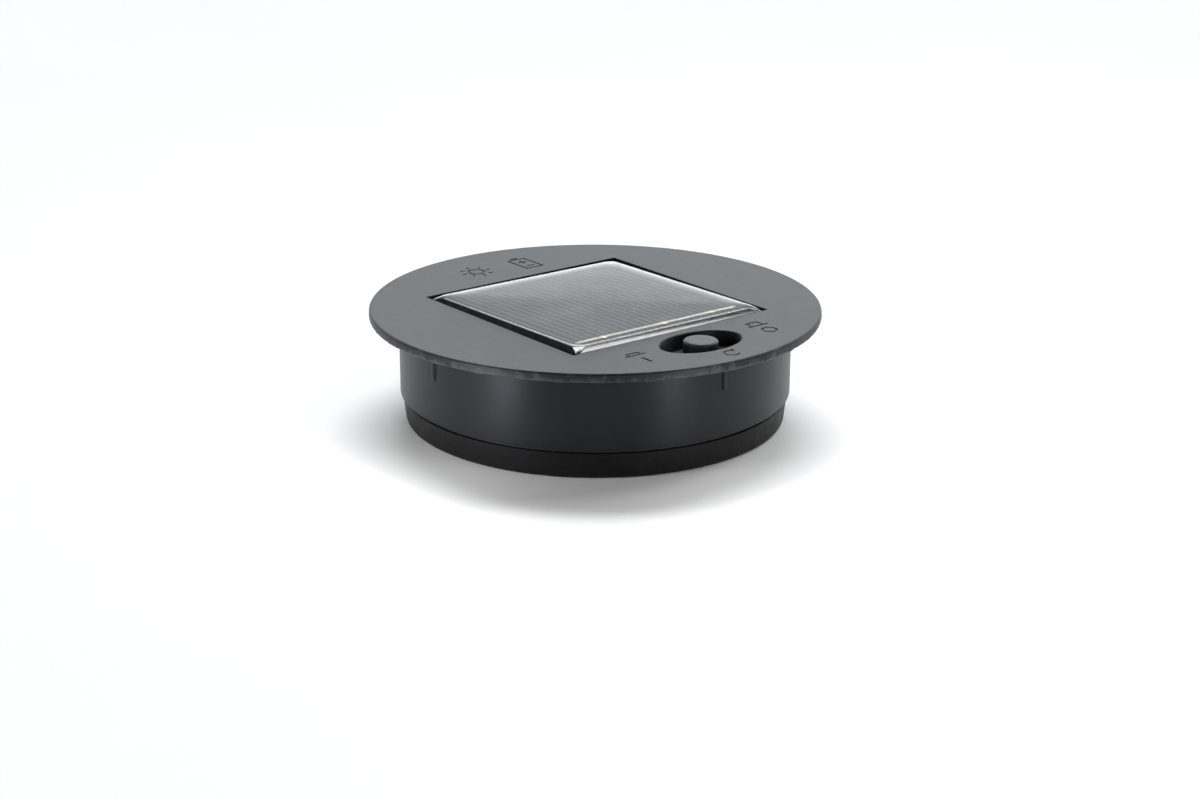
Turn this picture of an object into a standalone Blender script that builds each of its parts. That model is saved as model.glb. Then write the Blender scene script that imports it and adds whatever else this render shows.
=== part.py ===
"""Round solar light insert for a garden lantern.

A flanged black housing holds a square domed solar panel and a push button. A shallow cover closes it
from below with three screws. It carries the downward light, its reflector and the battery compartment
with a hinged door. The origin is at the middle of the base, +Z is up, and the button is on the -Y side.
Every dimension is in millimetres; MM turns it into Blender's metres.
"""

import math

import bmesh
import bpy
from mathutils import Vector

MM = 0.001
GAP = 0.3  # clearance between neighbouring pieces
LAYER_GAP = 0.1  # clearance between flat layers that lie on each other
OVERLAP = 0.6  # how far a moulded-on feature runs into its housing
THROUGH = 2.0  # how far a cutter runs past the face that it opens
LARGE_ROUND = 72  # facets round the housing
SMALL_ROUND = 24  # facets round screws and bosses
TINY_ROUND = 12  # facets round pins and pilot holes
CORNER_STEPS = 4  # facets in a rounded corner

# Housing
LID_TOP = 20.5
LID_THICKNESS = 1.8
FLANGE_RADIUS = 40.0
FLANGE_THICKNESS = 1.6
FLANGE_EDGE = 0.3
SKIRT_RADIUS = 34.8
SKIRT_WALL = 1.6
SKIRT_BOTTOM = 5.25
SKIRT_INNER = SKIRT_RADIUS - SKIRT_WALL
LID_UNDERSIDE = LID_TOP - LID_THICKNESS
FLANGE_UNDERSIDE = LID_TOP - FLANGE_THICKNESS
RIB_WIDTH = 0.7
RIB_HEIGHT = 0.35
RIB_BOTTOM = 13.5

# Solar panel, from its seat upwards
WINDOW_HALF = 21.53
TRAY_WALL = 1.4
TRAY_FLOOR = 1.5
TAPE_HALF = 18.0
TAPE_THICKNESS = 0.5
PANEL_HALF = 21.0
PANEL_CORNER = 3.0
BOARD_THICKNESS = 1.0
CELL_HALF = 19.0
CELL_THICKNESS = 0.2
RIBBON_THICKNESS = 0.15
RIBBON_HALF_LENGTH = 17.9
RIBBON_HALF_WIDTH = 0.75
RIBBON_Y = -16.9
DOME_EDGE_RISE = 0.83  # how far the resin's rolled edge stands above the lid
DOME_CROWN_RISE = 1.0
DOME_ROLL = 1.5  # how far the rolled edge reaches in from the foot
DOME_ROLL_HEIGHT = 1.08
DOME_FOOT_CORNER = 0.7
PANEL_SHIFT_Y = -0.15
PANEL_TURN = math.radians(0.6)
WIRE_SLOT = (3.0, 2.0)  # half length and half width of the slot for the panel's wires
WIRE_SLOT_Y = -14.0

TRAY_TOP = 17.25
TAPE_BOTTOM = TRAY_TOP + LAYER_GAP
PANEL_BOARD_BOTTOM = TAPE_BOTTOM + TAPE_THICKNESS + LAYER_GAP
CELL_BOTTOM = PANEL_BOARD_BOTTOM + BOARD_THICKNESS + LAYER_GAP
RIBBON_BOTTOM = CELL_BOTTOM + CELL_THICKNESS + LAYER_GAP / 2
DOME_BOTTOM = RIBBON_BOTTOM + RIBBON_THICKNESS + LAYER_GAP

# Button and its finger dish
BUTTON_Y = -28.6
BUTTON_RADIUS = 3.0
BUTTON_TOP = LID_TOP + 0.35
BUTTON_EDGE = 0.5
BUTTON_TRAVEL = 2.0
DISH_TOP = (8.1, 5.2)  # half length and half width at the lid
DISH_FLOOR = (6.6, 4.1)
DISH_DEPTH = 2.6
DISH_WALL = (9.4, 5.9)
DISH_FLOOR_THICKNESS = 1.2
COLLAR_RADIUS = 3.9
COLLAR_THICKNESS = 1.2
DISH_UNDERSIDE = LID_TOP - DISH_DEPTH - DISH_FLOOR_THICKNESS
COLLAR_TOP = DISH_UNDERSIDE - GAP
COLLAR_BOTTOM = COLLAR_TOP - COLLAR_THICKNESS
BUTTON_BORE_DEPTH = 3.2

# Circuit board and the push switch on it
BOARD_TOP = 5.3
BOARD_BOTTOM = 4.1
BOARD_HALF_WIDTH = 15.0
BOARD_RADIUS = 31.9
BOARD_NEAR_EDGE = -8.8
SWITCH_HALF = 3.5
SWITCH_TOP = COLLAR_BOTTOM - BUTTON_TRAVEL - GAP
SWITCH_WALL = 0.8
PLUNGER_RADIUS = 1.3
PLUNGER_CLEARANCE = 0.15
PLUNGER_FOOT_RADIUS = 2.3
PLUNGER_FOOT = 0.8
SPRING_WIRE_RADIUS = 0.2
SPRING_RADIUS = 1.8
SPRING_TURNS = 5
SWITCH_BOTTOM = BOARD_TOP + GAP
PIN_HALF = 0.3
PIN_PITCH = 2.2
PIN_BOTTOM = 2.9

# Base cover
BASE_RADIUS = 33.9
BASE_EDGE = 0.9
SHOULDER_RADIUS = 34.3
SHOULDER_TOP = 4.65
FOOT_RISE = 0.4  # the foot ring keeps screws and lens off the surface below
FOOT_INNER = 31.8
COVER_FLOOR = 1.5
COVER_INNER = 32.3
TAB_OUTER = SKIRT_INNER - GAP
TAB_WALL = 1.3
TAB_TOP = 8.0
TAB_HALF_ANGLE = math.radians(9)
TAB_ANGLES = (0, 90, 180, 225, 315)
SEAL_THICKNESS = 0.4
SEAL_INNER = 33.0
SEAL_OUTER = 33.9
FLOOR_TOP = FOOT_RISE + COVER_FLOOR

# Cover screws and board screws
COVER_SCREW_CIRCLE = 27.5
COVER_SCREW_ANGLES = (90, 210, 330)
COVER_BOSS_RADIUS = 2.8
COVER_BOSS_BOTTOM = 3.9
COVER_PAD_RADIUS = 4.0
COVER_PAD_TOP = 3.6
HEAD_SEAT = 2.1
HEAD_POCKET_RADIUS = 2.6
COVER_SCREW = dict(head_radius=2.3, head_height=1.3, shank_radius=1.0, shank_length=7.0)
BOARD_SCREW_X = 11.5
BOARD_SCREW_Y = -12.2
BOARD_BOSS_RADIUS = 2.4
BOARD_SCREW = dict(head_radius=1.9, head_height=1.1, shank_radius=0.8, shank_length=6.5)
SHANK_CLEARANCE = 0.2

# Light in the middle of the base
LENS_RADIUS = 7.3
LENS_THICKNESS = 1.0
LENS_LIP_RADIUS = 6.6
LENS_LIP = 0.8
LENS_COLLAR = 0.8
LENS_COLLAR_TOP = 4.0
CUP_BOTTOM = 2.8
CUP_FLANGE = 0.8
CUP_MOUTH = 6.2
CUP_THROAT = 3.0
CUP_TOP = 8.6
CUP_WALL = 0.8
CUP_RIM_RADIUS = 4.9
LED_BOARD_RADIUS = 6.0
LED_BOARD_BOTTOM = 9.1
LED_BOARD_THICKNESS = 1.0
LED_RADIUS = 2.5
LED_TIP = 3.9

# Battery compartment and door
BAY_Y = 14.25
BAY_HALF_LENGTH = 24.5
BAY_HALF_WIDTH = 5.55
BAY_WALL = 1.0
BAY_TOP = 13.1
CELL_Z = 7.6
CELL_RADIUS = 5.25
CELL_RIGHT = 23.2
CELL_LENGTH = 44.5
NUB_RADIUS = 1.9
NUB_LENGTH = 0.9
CONTACT_SLOT = (1.3, 0.5)
CONTACT_SLOT_Z = 11.7
CONTACT_THICKNESS = 0.4
CONTACT_HALF_WIDTH = 3.5
CONTACT_BOTTOM = 4.2
TAB_REACH = 1.5  # how far the contact tabs stand out of the bay
TAB_HALF_WIDTH = 1.0
CONTACT_SPRING_TURNS = 3
CONTACT_SPRING_WIDE = 3.9  # the cone spring's radius at the wall
CONTACT_SPRING_NARROW = 1.7  # and at the battery
CONTACT_SPRING_WIRE = 0.25
CONTACT_SPRING_CLEARANCE = 0.4
DOOR_AXIS_Y = 18.35
DOOR_AXIS_Z = 1.7
DOOR_BARREL = DOOR_AXIS_Z - FOOT_RISE
DOOR_PIN_RADIUS = 0.7
DOOR_PIN_LENGTH = 1.3
DOOR_PIN_CLEARANCE = 0.15
BEARING_LENGTH = 1.6
BEARING_HALF = 2.0
BEARING_TOP = 3.8
SCOOP_X = 15.0
SCOOP_RADIUS = 3.6
SCOOP_DEPTH = 0.7
BAY_Y0 = BAY_Y - BAY_HALF_WIDTH
BAY_Y1 = BAY_Y + BAY_HALF_WIDTH

WIRE_RADIUS = 0.5
WIRE_STEPS = 5  # straight runs between two points of a wire's route


# ---------------------------------------------------------------- scene, materials and objects


def clear_scene():
    for obj in list(bpy.data.objects):
        bpy.data.objects.remove(obj, do_unlink=True)


def material(name, colour, roughness, metallic=0.0):
    """The Principled material of this name, made on its first use."""
    found = bpy.data.materials.get(name)
    if found:
        return found
    made = bpy.data.materials.new(name)
    made.use_nodes = True
    shader = made.node_tree.nodes["Principled BSDF"]
    shader.inputs["Base Color"].default_value = (*colour, 1.0)
    shader.inputs["Roughness"].default_value = roughness
    shader.inputs["Metallic"].default_value = metallic
    made.diffuse_color = (*colour, 1.0)
    return made


def housing_plastic():
    return material("housing_plastic", (0.045, 0.047, 0.05), 0.55)


def cover_plastic():
    return material("cover_plastic", (0.03, 0.03, 0.032), 0.8)


def button_plastic():
    return material("button_plastic", (0.05, 0.052, 0.055), 0.5)


def silicone():
    return material("silicone", (0.02, 0.02, 0.02), 0.7)


def resin():
    return material("resin", (0.5, 0.53, 0.56), 0.15)


def silicon_cell():
    return material("silicon_cell", (0.06, 0.07, 0.1), 0.35)


def board_laminate():
    return material("board_laminate", (0.02, 0.09, 0.05), 0.5)


def panel_laminate():
    return material("panel_laminate", (0.02, 0.02, 0.02), 0.5)


def steel():
    return material("steel", (0.55, 0.55, 0.56), 0.35, 1.0)


def switch_plastic():
    return material("switch_plastic", (0.02, 0.02, 0.02), 0.45)


def white_plastic():
    return material("white_plastic", (0.8, 0.8, 0.78), 0.4)


def foam_tape():
    return material("foam_tape", (0.75, 0.75, 0.72), 0.9)


def add_object(name, bm, mat=None, origin=(0, 0, 0), smooth_angle=35):
    """Turns a bmesh in millimetres into an object whose origin is at the given point, in millimetres."""
    bmesh.ops.remove_doubles(bm, verts=bm.verts, dist=1e-4)
    bmesh.ops.recalc_face_normals(bm, faces=bm.faces)
    bmesh.ops.translate(bm, verts=bm.verts, vec=-Vector(origin))
    bmesh.ops.scale(bm, verts=bm.verts, vec=(MM, MM, MM))
    mesh = bpy.data.meshes.new(name)
    bm.to_mesh(mesh)
    bm.free()
    mesh.shade_smooth()
    mesh.set_sharp_from_angle(angle=math.radians(smooth_angle))
    obj = bpy.data.objects.new(name, mesh)
    obj.location = Vector(origin) * MM
    bpy.context.scene.collection.objects.link(obj)
    if mat:
        mesh.materials.append(mat)
    return obj


def combine(target, tool, operation):
    """Joins a tool to the target, or cuts it away, and keeps the tool as a wire guide."""
    modifier = target.modifiers.new(tool.name, "BOOLEAN")
    modifier.operation = operation
    modifier.solver = "EXACT"
    modifier.object = tool
    tool.hide_render = True
    tool.display_type = "WIRE"


def join(target, name, bm):
    combine(target, add_object(name, bm), "UNION")


def cut(target, name, bm):
    combine(target, add_object(name, bm), "DIFFERENCE")


# ---------------------------------------------------------------- shapes, as bmeshes in millimetres


def loft(rings):
    """A closed solid through rings of points; a ring of one point closes it to a tip."""
    bm = bmesh.new()
    loops = [[bm.verts.new(point) for point in ring] for ring in rings]
    for low, high in zip(loops, loops[1:]):
        count = max(len(low), len(high))
        for i in range(count):
            j = (i + 1) % count
            corners = [low[i % len(low)], low[j % len(low)], high[j % len(high)], high[i % len(high)]]
            unique = list(dict.fromkeys(corners))
            bm.faces.new(unique)
    for end in (loops[0], loops[-1]):
        if len(end) > 2:
            bm.faces.new(end)
    return bm


def ellipse(half_x, half_y, z, count, centre=(0, 0)):
    turns = [2 * math.pi * i / count for i in range(count)]
    return [(centre[0] + half_x * math.cos(t), centre[1] + half_y * math.sin(t), z) for t in turns]


def turned(profile, count, centre=(0, 0)):
    """Spins an open (radius, height) profile that starts and ends on the axis."""
    rings = []
    for radius, z in profile:
        on_axis = radius == 0
        rings.append([(*centre, z)] if on_axis else ellipse(radius, radius, z, count, centre))
    return loft(rings)


def turned_ring(profile, count, centre=(0, 0)):
    """Spins a closed (radius, height) profile that stays off the axis."""
    bm = bmesh.new()
    loops = [[bm.verts.new(p) for p in ellipse(r, r, z, count, centre)] for r, z in profile]
    for low, high in zip(loops, loops[1:] + loops[:1]):
        for i in range(count):
            j = (i + 1) % count
            bm.faces.new((low[i], low[j], high[j], high[i]))
    return bm


def cylinder(radius, z0, z1, count, centre=(0, 0)):
    return loft([ellipse(radius, radius, z0, count, centre), ellipse(radius, radius, z1, count, centre)])


def rod_x(radius, x0, x1, y, z, count):
    """A round rod along X."""
    rings = [[(x, y + py, z + pz) for py, pz, _ in ellipse(radius, radius, 0, count)] for x in (x0, x1)]
    return loft(rings)


def block(x0, x1, y0, y1, z0, z1):
    outline = [(x0, y0), (x1, y0), (x1, y1), (x0, y1)]
    return loft([[(x, y, z) for x, y in outline] for z in (z0, z1)])


def rounded_square(half, corner, z, half_y=None):
    """A ring round a rectangle with rounded corners."""
    half_y = half if half_y is None else half_y
    ring = []
    for quarter in range(4):
        sign_x = (1, -1, -1, 1)[quarter]
        sign_y = (1, 1, -1, -1)[quarter]
        for step in range(CORNER_STEPS + 1):
            turn = math.pi / 2 * (quarter + step / CORNER_STEPS)
            x = sign_x * (half - corner) + corner * math.cos(turn)
            y = sign_y * (half_y - corner) + corner * math.sin(turn)
            ring.append((x, y, z))
    return ring


def slab(half, corner, z0, z1, half_y=None):
    return loft([rounded_square(half, corner, z, half_y) for z in (z0, z1)])


def polar(radius, degrees):
    turn = math.radians(degrees)
    return radius * math.cos(turn), radius * math.sin(turn)


def smooth_path(points, steps):
    """Points along a Catmull-Rom curve through the given ones."""
    knots = [Vector(p) for p in points]
    knots = [2 * knots[0] - knots[1], *knots, 2 * knots[-1] - knots[-2]]
    path = []
    for a, b, c, d in zip(knots, knots[1:], knots[2:], knots[3:]):
        for i in range(steps):
            t = i / steps
            path.append(
                0.5 * (2 * b + (c - a) * t + (2 * a - 5 * b + 4 * c - d) * t**2)
                + 0.5 * (3 * b - a - 3 * c + d) * t**3
            )
    return path + [knots[-2]]


def tube(name, path, radius, mat, resolution=1):
    """A round wire along a path in millimetres, closed at both ends."""
    curve = bpy.data.curves.new(name, "CURVE")
    curve.dimensions = "3D"
    curve.bevel_depth = radius * MM
    curve.bevel_resolution = resolution
    curve.use_fill_caps = True
    spline = curve.splines.new("POLY")
    spline.points.add(len(path) - 1)
    for point, place in zip(spline.points, path):
        point.co = (*(Vector(place) * MM), 1.0)
    curve.materials.append(mat)
    obj = bpy.data.objects.new(name, curve)
    bpy.context.scene.collection.objects.link(obj)
    return obj


# ---------------------------------------------------------------- housing


def housing_shell():
    lower_edge = FLANGE_UNDERSIDE + FLANGE_EDGE
    profile = [
        (0, LID_TOP),
        (FLANGE_RADIUS - FLANGE_EDGE, LID_TOP),
        (FLANGE_RADIUS, LID_TOP - FLANGE_EDGE),
        (FLANGE_RADIUS, lower_edge),
        (FLANGE_RADIUS - FLANGE_EDGE, FLANGE_UNDERSIDE),
        (SKIRT_RADIUS, FLANGE_UNDERSIDE),
        (SKIRT_RADIUS, SKIRT_BOTTOM),
        (SKIRT_INNER, SKIRT_BOTTOM),
        (SKIRT_INNER, LID_UNDERSIDE),
        (0, LID_UNDERSIDE),
    ]
    return turned(profile, LARGE_ROUND)


def add_skirt_ribs(housing):
    """Slim ribs under the flange that grip the rim of the lantern's opening."""
    inside = SKIRT_RADIUS - OVERLAP
    outside = SKIRT_RADIUS + RIB_HEIGHT
    half = RIB_WIDTH / 2
    top = FLANGE_UNDERSIDE + OVERLAP
    spans = {
        "east": (inside, outside, -half, half),
        "west": (-outside, -inside, -half, half),
        "north": (-half, half, inside, outside),
        "south": (-half, half, -outside, -inside),
    }
    for side, span in spans.items():
        join(housing, f"rib_{side}", block(*span, RIB_BOTTOM, top))


def add_cover_bosses(housing):
    for i, degrees in enumerate(COVER_SCREW_ANGLES, 1):
        centre = polar(COVER_SCREW_CIRCLE, degrees)
        boss = cylinder(COVER_BOSS_RADIUS, COVER_BOSS_BOTTOM, LID_UNDERSIDE + OVERLAP, SMALL_ROUND, centre)
        join(housing, f"cover_boss_{i}", boss)


def add_board_bosses(housing):
    tray_underside = TRAY_TOP - TRAY_FLOOR
    for i, x in enumerate((-BOARD_SCREW_X, BOARD_SCREW_X), 1):
        centre = (x, BOARD_SCREW_Y)
        boss = cylinder(BOARD_BOSS_RADIUS, BOARD_TOP + GAP, tray_underside + OVERLAP, SMALL_ROUND, centre)
        join(housing, f"board_boss_{i}", boss)


def drill_bosses(housing):
    reach = COVER_SCREW["shank_length"] + HEAD_SEAT + GAP
    radius = COVER_SCREW["shank_radius"] + SHANK_CLEARANCE
    for i, degrees in enumerate(COVER_SCREW_ANGLES, 1):
        centre = polar(COVER_SCREW_CIRCLE, degrees)
        cut(housing, f"cover_pilot_{i}", cylinder(radius, 0, reach, TINY_ROUND, centre))
    reach = BOARD_SCREW["shank_length"] + BOARD_BOTTOM + GAP
    radius = BOARD_SCREW["shank_radius"] + SHANK_CLEARANCE
    for i, x in enumerate((-BOARD_SCREW_X, BOARD_SCREW_X), 1):
        centre = (x, BOARD_SCREW_Y)
        cut(housing, f"board_pilot_{i}", cylinder(radius, 0, reach, TINY_ROUND, centre))


def cut_finger_dish(housing):
    centre = (0, BUTTON_Y)
    floor = LID_TOP - DISH_DEPTH
    slope = (DISH_TOP[0] - DISH_FLOOR[0]) / DISH_DEPTH
    above = THROUGH * slope
    rings = [
        ellipse(*DISH_FLOOR, floor, LARGE_ROUND // 2, centre),
        ellipse(*DISH_TOP, LID_TOP, LARGE_ROUND // 2, centre),
        ellipse(DISH_TOP[0] + above, DISH_TOP[1] + above, LID_TOP + THROUGH, LARGE_ROUND // 2, centre),
    ]
    cut(housing, "finger_dish", loft(rings))
    hole = cylinder(BUTTON_RADIUS + GAP, DISH_UNDERSIDE - THROUGH, floor + THROUGH, SMALL_ROUND, centre)
    cut(housing, "button_hole", hole)


def make_upper_housing():
    housing = add_object("upper_housing", housing_shell(), housing_plastic())
    tray_half = WINDOW_HALF + TRAY_WALL
    tray = block(-tray_half, tray_half, -tray_half, tray_half, TRAY_TOP - TRAY_FLOOR, LID_UNDERSIDE + OVERLAP)
    join(housing, "panel_tray", tray)
    centre = (0, BUTTON_Y)
    heights = (DISH_UNDERSIDE, LID_UNDERSIDE + OVERLAP)
    join(housing, "dish_wall", loft([ellipse(*DISH_WALL, z, LARGE_ROUND // 2, centre) for z in heights]))
    add_cover_bosses(housing)
    add_board_bosses(housing)
    add_skirt_ribs(housing)
    window = block(-WINDOW_HALF, WINDOW_HALF, -WINDOW_HALF, WINDOW_HALF, TRAY_TOP, LID_TOP + THROUGH)
    cut(housing, "panel_window", window)
    cut(housing, "wire_slot", wire_slot(TRAY_TOP - TRAY_FLOOR - THROUGH, TRAY_TOP + THROUGH))
    cut_finger_dish(housing)
    drill_bosses(housing)


def wire_slot(z0, z1):
    half_x, half_y = WIRE_SLOT
    return block(-half_x, half_x, WIRE_SLOT_Y - half_y, WIRE_SLOT_Y + half_y, z0, z1)


# ---------------------------------------------------------------- solar panel


def make_panel():
    """The panel's layers, on an empty that sets how the panel sits in its window."""
    seat = bpy.data.objects.new("panel_seat", None)
    seat.location = Vector((0, PANEL_SHIFT_Y, 0)) * MM
    seat.rotation_euler = (0, 0, PANEL_TURN)
    bpy.context.scene.collection.objects.link(seat)

    tape = add_object(
        "panel_tape", slab(TAPE_HALF, PANEL_CORNER, TAPE_BOTTOM, TAPE_BOTTOM + TAPE_THICKNESS), foam_tape()
    )
    slot = add_object("tape_slot", wire_slot(TAPE_BOTTOM - THROUGH, TAPE_BOTTOM + THROUGH))
    combine(tape, slot, "DIFFERENCE")
    board_top = PANEL_BOARD_BOTTOM + BOARD_THICKNESS
    board = add_object(
        "solar_board",
        slab(PANEL_HALF - LAYER_GAP, PANEL_CORNER, PANEL_BOARD_BOTTOM, board_top),
        panel_laminate(),
    )
    cell = add_object(
        "solar_cell", slab(CELL_HALF, GAP, CELL_BOTTOM, CELL_BOTTOM + CELL_THICKNESS), silicon_cell()
    )
    dome = add_object("epoxy_dome", dome_body(), resin(), smooth_angle=60)
    for piece in (tape, slot, board, cell, dome, make_ribbon()):
        piece.parent = seat


def make_ribbon():
    heights = (RIBBON_BOTTOM, RIBBON_BOTTOM + RIBBON_THICKNESS)
    end_radius = RIBBON_HALF_WIDTH * 0.9
    bm = loft([rounded_square(RIBBON_HALF_LENGTH, end_radius, z, RIBBON_HALF_WIDTH) for z in heights])
    bmesh.ops.translate(bm, verts=bm.verts, vec=(0, RIBBON_Y, 0))
    return add_object("bus_ribbon", bm, steel())


def dome_body():
    """A potted resin slab: sharp-cornered at its foot, rolled at its edge, gently swollen on top."""
    edge = LID_TOP + DOME_EDGE_RISE
    crown = LID_TOP + DOME_CROWN_RISE
    rings = [rounded_square(PANEL_HALF, DOME_FOOT_CORNER, DOME_BOTTOM)]
    for step in range(6):
        turn = math.pi / 2 * step / 5
        half = PANEL_HALF - DOME_ROLL * (1 - math.cos(turn))
        corner = DOME_FOOT_CORNER + (PANEL_CORNER - DOME_FOOT_CORNER) * math.sin(turn)
        rings.append(rounded_square(half, corner, edge - DOME_ROLL_HEIGHT * (1 - math.sin(turn))))
    for share in (0.72, 0.42, 0.12):
        half = (PANEL_HALF - DOME_ROLL) * share
        rings.append(rounded_square(half, PANEL_CORNER * share, crown - (crown - edge) * share**2))
    return loft(rings)


# ---------------------------------------------------------------- button, switch and circuit board


def make_button():
    centre = (0, BUTTON_Y)
    body = turned(
        [
            (0, BUTTON_TOP),
            (BUTTON_RADIUS - BUTTON_EDGE, BUTTON_TOP),
            (BUTTON_RADIUS - BUTTON_EDGE * 0.3, BUTTON_TOP - BUTTON_EDGE * 0.3),
            (BUTTON_RADIUS, BUTTON_TOP - BUTTON_EDGE),
            (BUTTON_RADIUS, COLLAR_TOP),
            (COLLAR_RADIUS, COLLAR_TOP),
            (COLLAR_RADIUS, COLLAR_BOTTOM),
            (PLUNGER_RADIUS + PLUNGER_CLEARANCE, COLLAR_BOTTOM),
            (PLUNGER_RADIUS + PLUNGER_CLEARANCE, COLLAR_BOTTOM + BUTTON_BORE_DEPTH),
            (0, COLLAR_BOTTOM + BUTTON_BORE_DEPTH),
        ],
        SMALL_ROUND,
        centre,
    )
    add_object("button_cap", body, button_plastic(), origin=(0, BUTTON_Y, COLLAR_TOP))
    foot_top = SWITCH_TOP - SWITCH_WALL - GAP
    plunger = turned(
        [
            (0, COLLAR_BOTTOM + BUTTON_BORE_DEPTH - 0.2),
            (PLUNGER_RADIUS, COLLAR_BOTTOM + BUTTON_BORE_DEPTH - 0.2),
            (PLUNGER_RADIUS, foot_top),
            (PLUNGER_FOOT_RADIUS, foot_top),
            (PLUNGER_FOOT_RADIUS, foot_top - PLUNGER_FOOT),
            (0, foot_top - PLUNGER_FOOT),
        ],
        SMALL_ROUND,
        centre,
    )
    add_object("switch_plunger", plunger, white_plastic(), origin=(0, BUTTON_Y, COLLAR_TOP))


def make_switch():
    y = BUTTON_Y
    body = add_object(
        "switch_body",
        block(-SWITCH_HALF, SWITCH_HALF, y - SWITCH_HALF, y + SWITCH_HALF, SWITCH_BOTTOM, SWITCH_TOP),
        switch_plastic(),
    )
    well_top = SWITCH_TOP - SWITCH_WALL
    well_radius = SWITCH_HALF - SWITCH_WALL
    well = cylinder(well_radius, SWITCH_BOTTOM + SWITCH_WALL, well_top, SMALL_ROUND, (0, y))
    cut(body, "switch_well", well)
    mouth = cylinder(PLUNGER_RADIUS + GAP, well_top - GAP, SWITCH_TOP + THROUGH, SMALL_ROUND, (0, y))
    cut(body, "switch_mouth", mouth)
    make_switch_spring(SWITCH_BOTTOM + SWITCH_WALL, well_top - GAP - PLUNGER_FOOT)
    for i in range(6):
        x = (i % 3 - 1) * PIN_PITCH
        pin_y = y + (-PIN_PITCH, PIN_PITCH)[i // 3]
        sides = (x - PIN_HALF, x + PIN_HALF, pin_y - PIN_HALF, pin_y + PIN_HALF)
        pin = block(*sides, PIN_BOTTOM, SWITCH_BOTTOM - LAYER_GAP)
        add_object(f"switch_pin_{i + 1}", pin, steel())


def make_switch_spring(floor, ceiling):
    """A compression spring between the switch's floor and the plunger's foot."""
    low = floor + SPRING_WIRE_RADIUS + LAYER_GAP
    high = ceiling - SPRING_WIRE_RADIUS - LAYER_GAP
    count = SPRING_TURNS * 12
    path = []
    for i in range(count + 1):
        x, y = polar(SPRING_RADIUS, 360 * SPRING_TURNS * i / count)
        path.append((x, BUTTON_Y + y, low + (high - low) * i / count))
    tube("switch_spring", path, SPRING_WIRE_RADIUS, steel(), resolution=0)


def board_outline():
    """A rectangle whose far side follows the round housing."""
    half_angle = math.degrees(math.asin(BOARD_HALF_WIDTH / BOARD_RADIUS))
    steps = 10
    arc = [polar(BOARD_RADIUS, -90 - half_angle + 2 * half_angle * i / steps) for i in range(steps + 1)]
    return arc + [(BOARD_HALF_WIDTH, BOARD_NEAR_EDGE), (-BOARD_HALF_WIDTH, BOARD_NEAR_EDGE)]


def make_circuit_board():
    outline = board_outline()
    body = loft([[(x, y, z) for x, y in outline] for z in (BOARD_BOTTOM, BOARD_TOP)])
    board = add_object("circuit_board", body, board_laminate())
    radius = BOARD_SCREW["shank_radius"] + SHANK_CLEARANCE
    for i, x in enumerate((-BOARD_SCREW_X, BOARD_SCREW_X), 1):
        cut(board, f"board_hole_{i}", cylinder(radius, 0, 2 * BOARD_TOP, TINY_ROUND, (x, BOARD_SCREW_Y)))
    for i in range(6):
        x = (i % 3 - 1) * 2.2
        y = BUTTON_Y + (-2.2, 2.2)[i // 3]
        half = PIN_HALF + LAYER_GAP
        cut(board, f"pin_hole_{i + 1}", block(x - half, x + half, y - half, y + half, 0, 2 * BOARD_TOP))
    rest = BOARD_TOP + LAYER_GAP
    add_object("driver_chip", block(-2.5, 2.5, -20.0, -16.0, rest, rest + 1.6), switch_plastic())
    add_object("inductor", cylinder(2.4, rest, rest + 4.5, SMALL_ROUND, (-8.5, -20.5)), switch_plastic())
    add_object("capacitor", cylinder(2.0, rest, rest + 5.0, SMALL_ROUND, (8.5, -20.5)), steel())


# ---------------------------------------------------------------- base cover


def cover_shell():
    profile = [
        (0, FOOT_RISE),
        (FOOT_INNER - FOOT_RISE, FOOT_RISE),
        (FOOT_INNER, 0),
        (BASE_RADIUS - BASE_EDGE, 0),
        (BASE_RADIUS - BASE_EDGE * 0.3, BASE_EDGE * 0.3),
        (BASE_RADIUS, BASE_EDGE),
        (SHOULDER_RADIUS, SHOULDER_TOP),
        (COVER_INNER, SHOULDER_TOP),
        (COVER_INNER, FLOOR_TOP),
        (0, FLOOR_TOP),
    ]
    return turned(profile, LARGE_ROUND)


def locating_tab(degrees):
    """A curved tab that stands up inside the skirt."""
    centre = math.radians(degrees)
    steps = 4
    turns = [centre - TAB_HALF_ANGLE + 2 * TAB_HALF_ANGLE * i / steps for i in range(steps + 1)]
    outline = [(TAB_OUTER * math.cos(t), TAB_OUTER * math.sin(t)) for t in turns]
    inner = TAB_OUTER - TAB_WALL
    outline += [(inner * math.cos(t), inner * math.sin(t)) for t in reversed(turns)]
    return loft([[(x, y, z) for x, y in outline] for z in (FLOOR_TOP - OVERLAP, TAB_TOP)])


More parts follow.
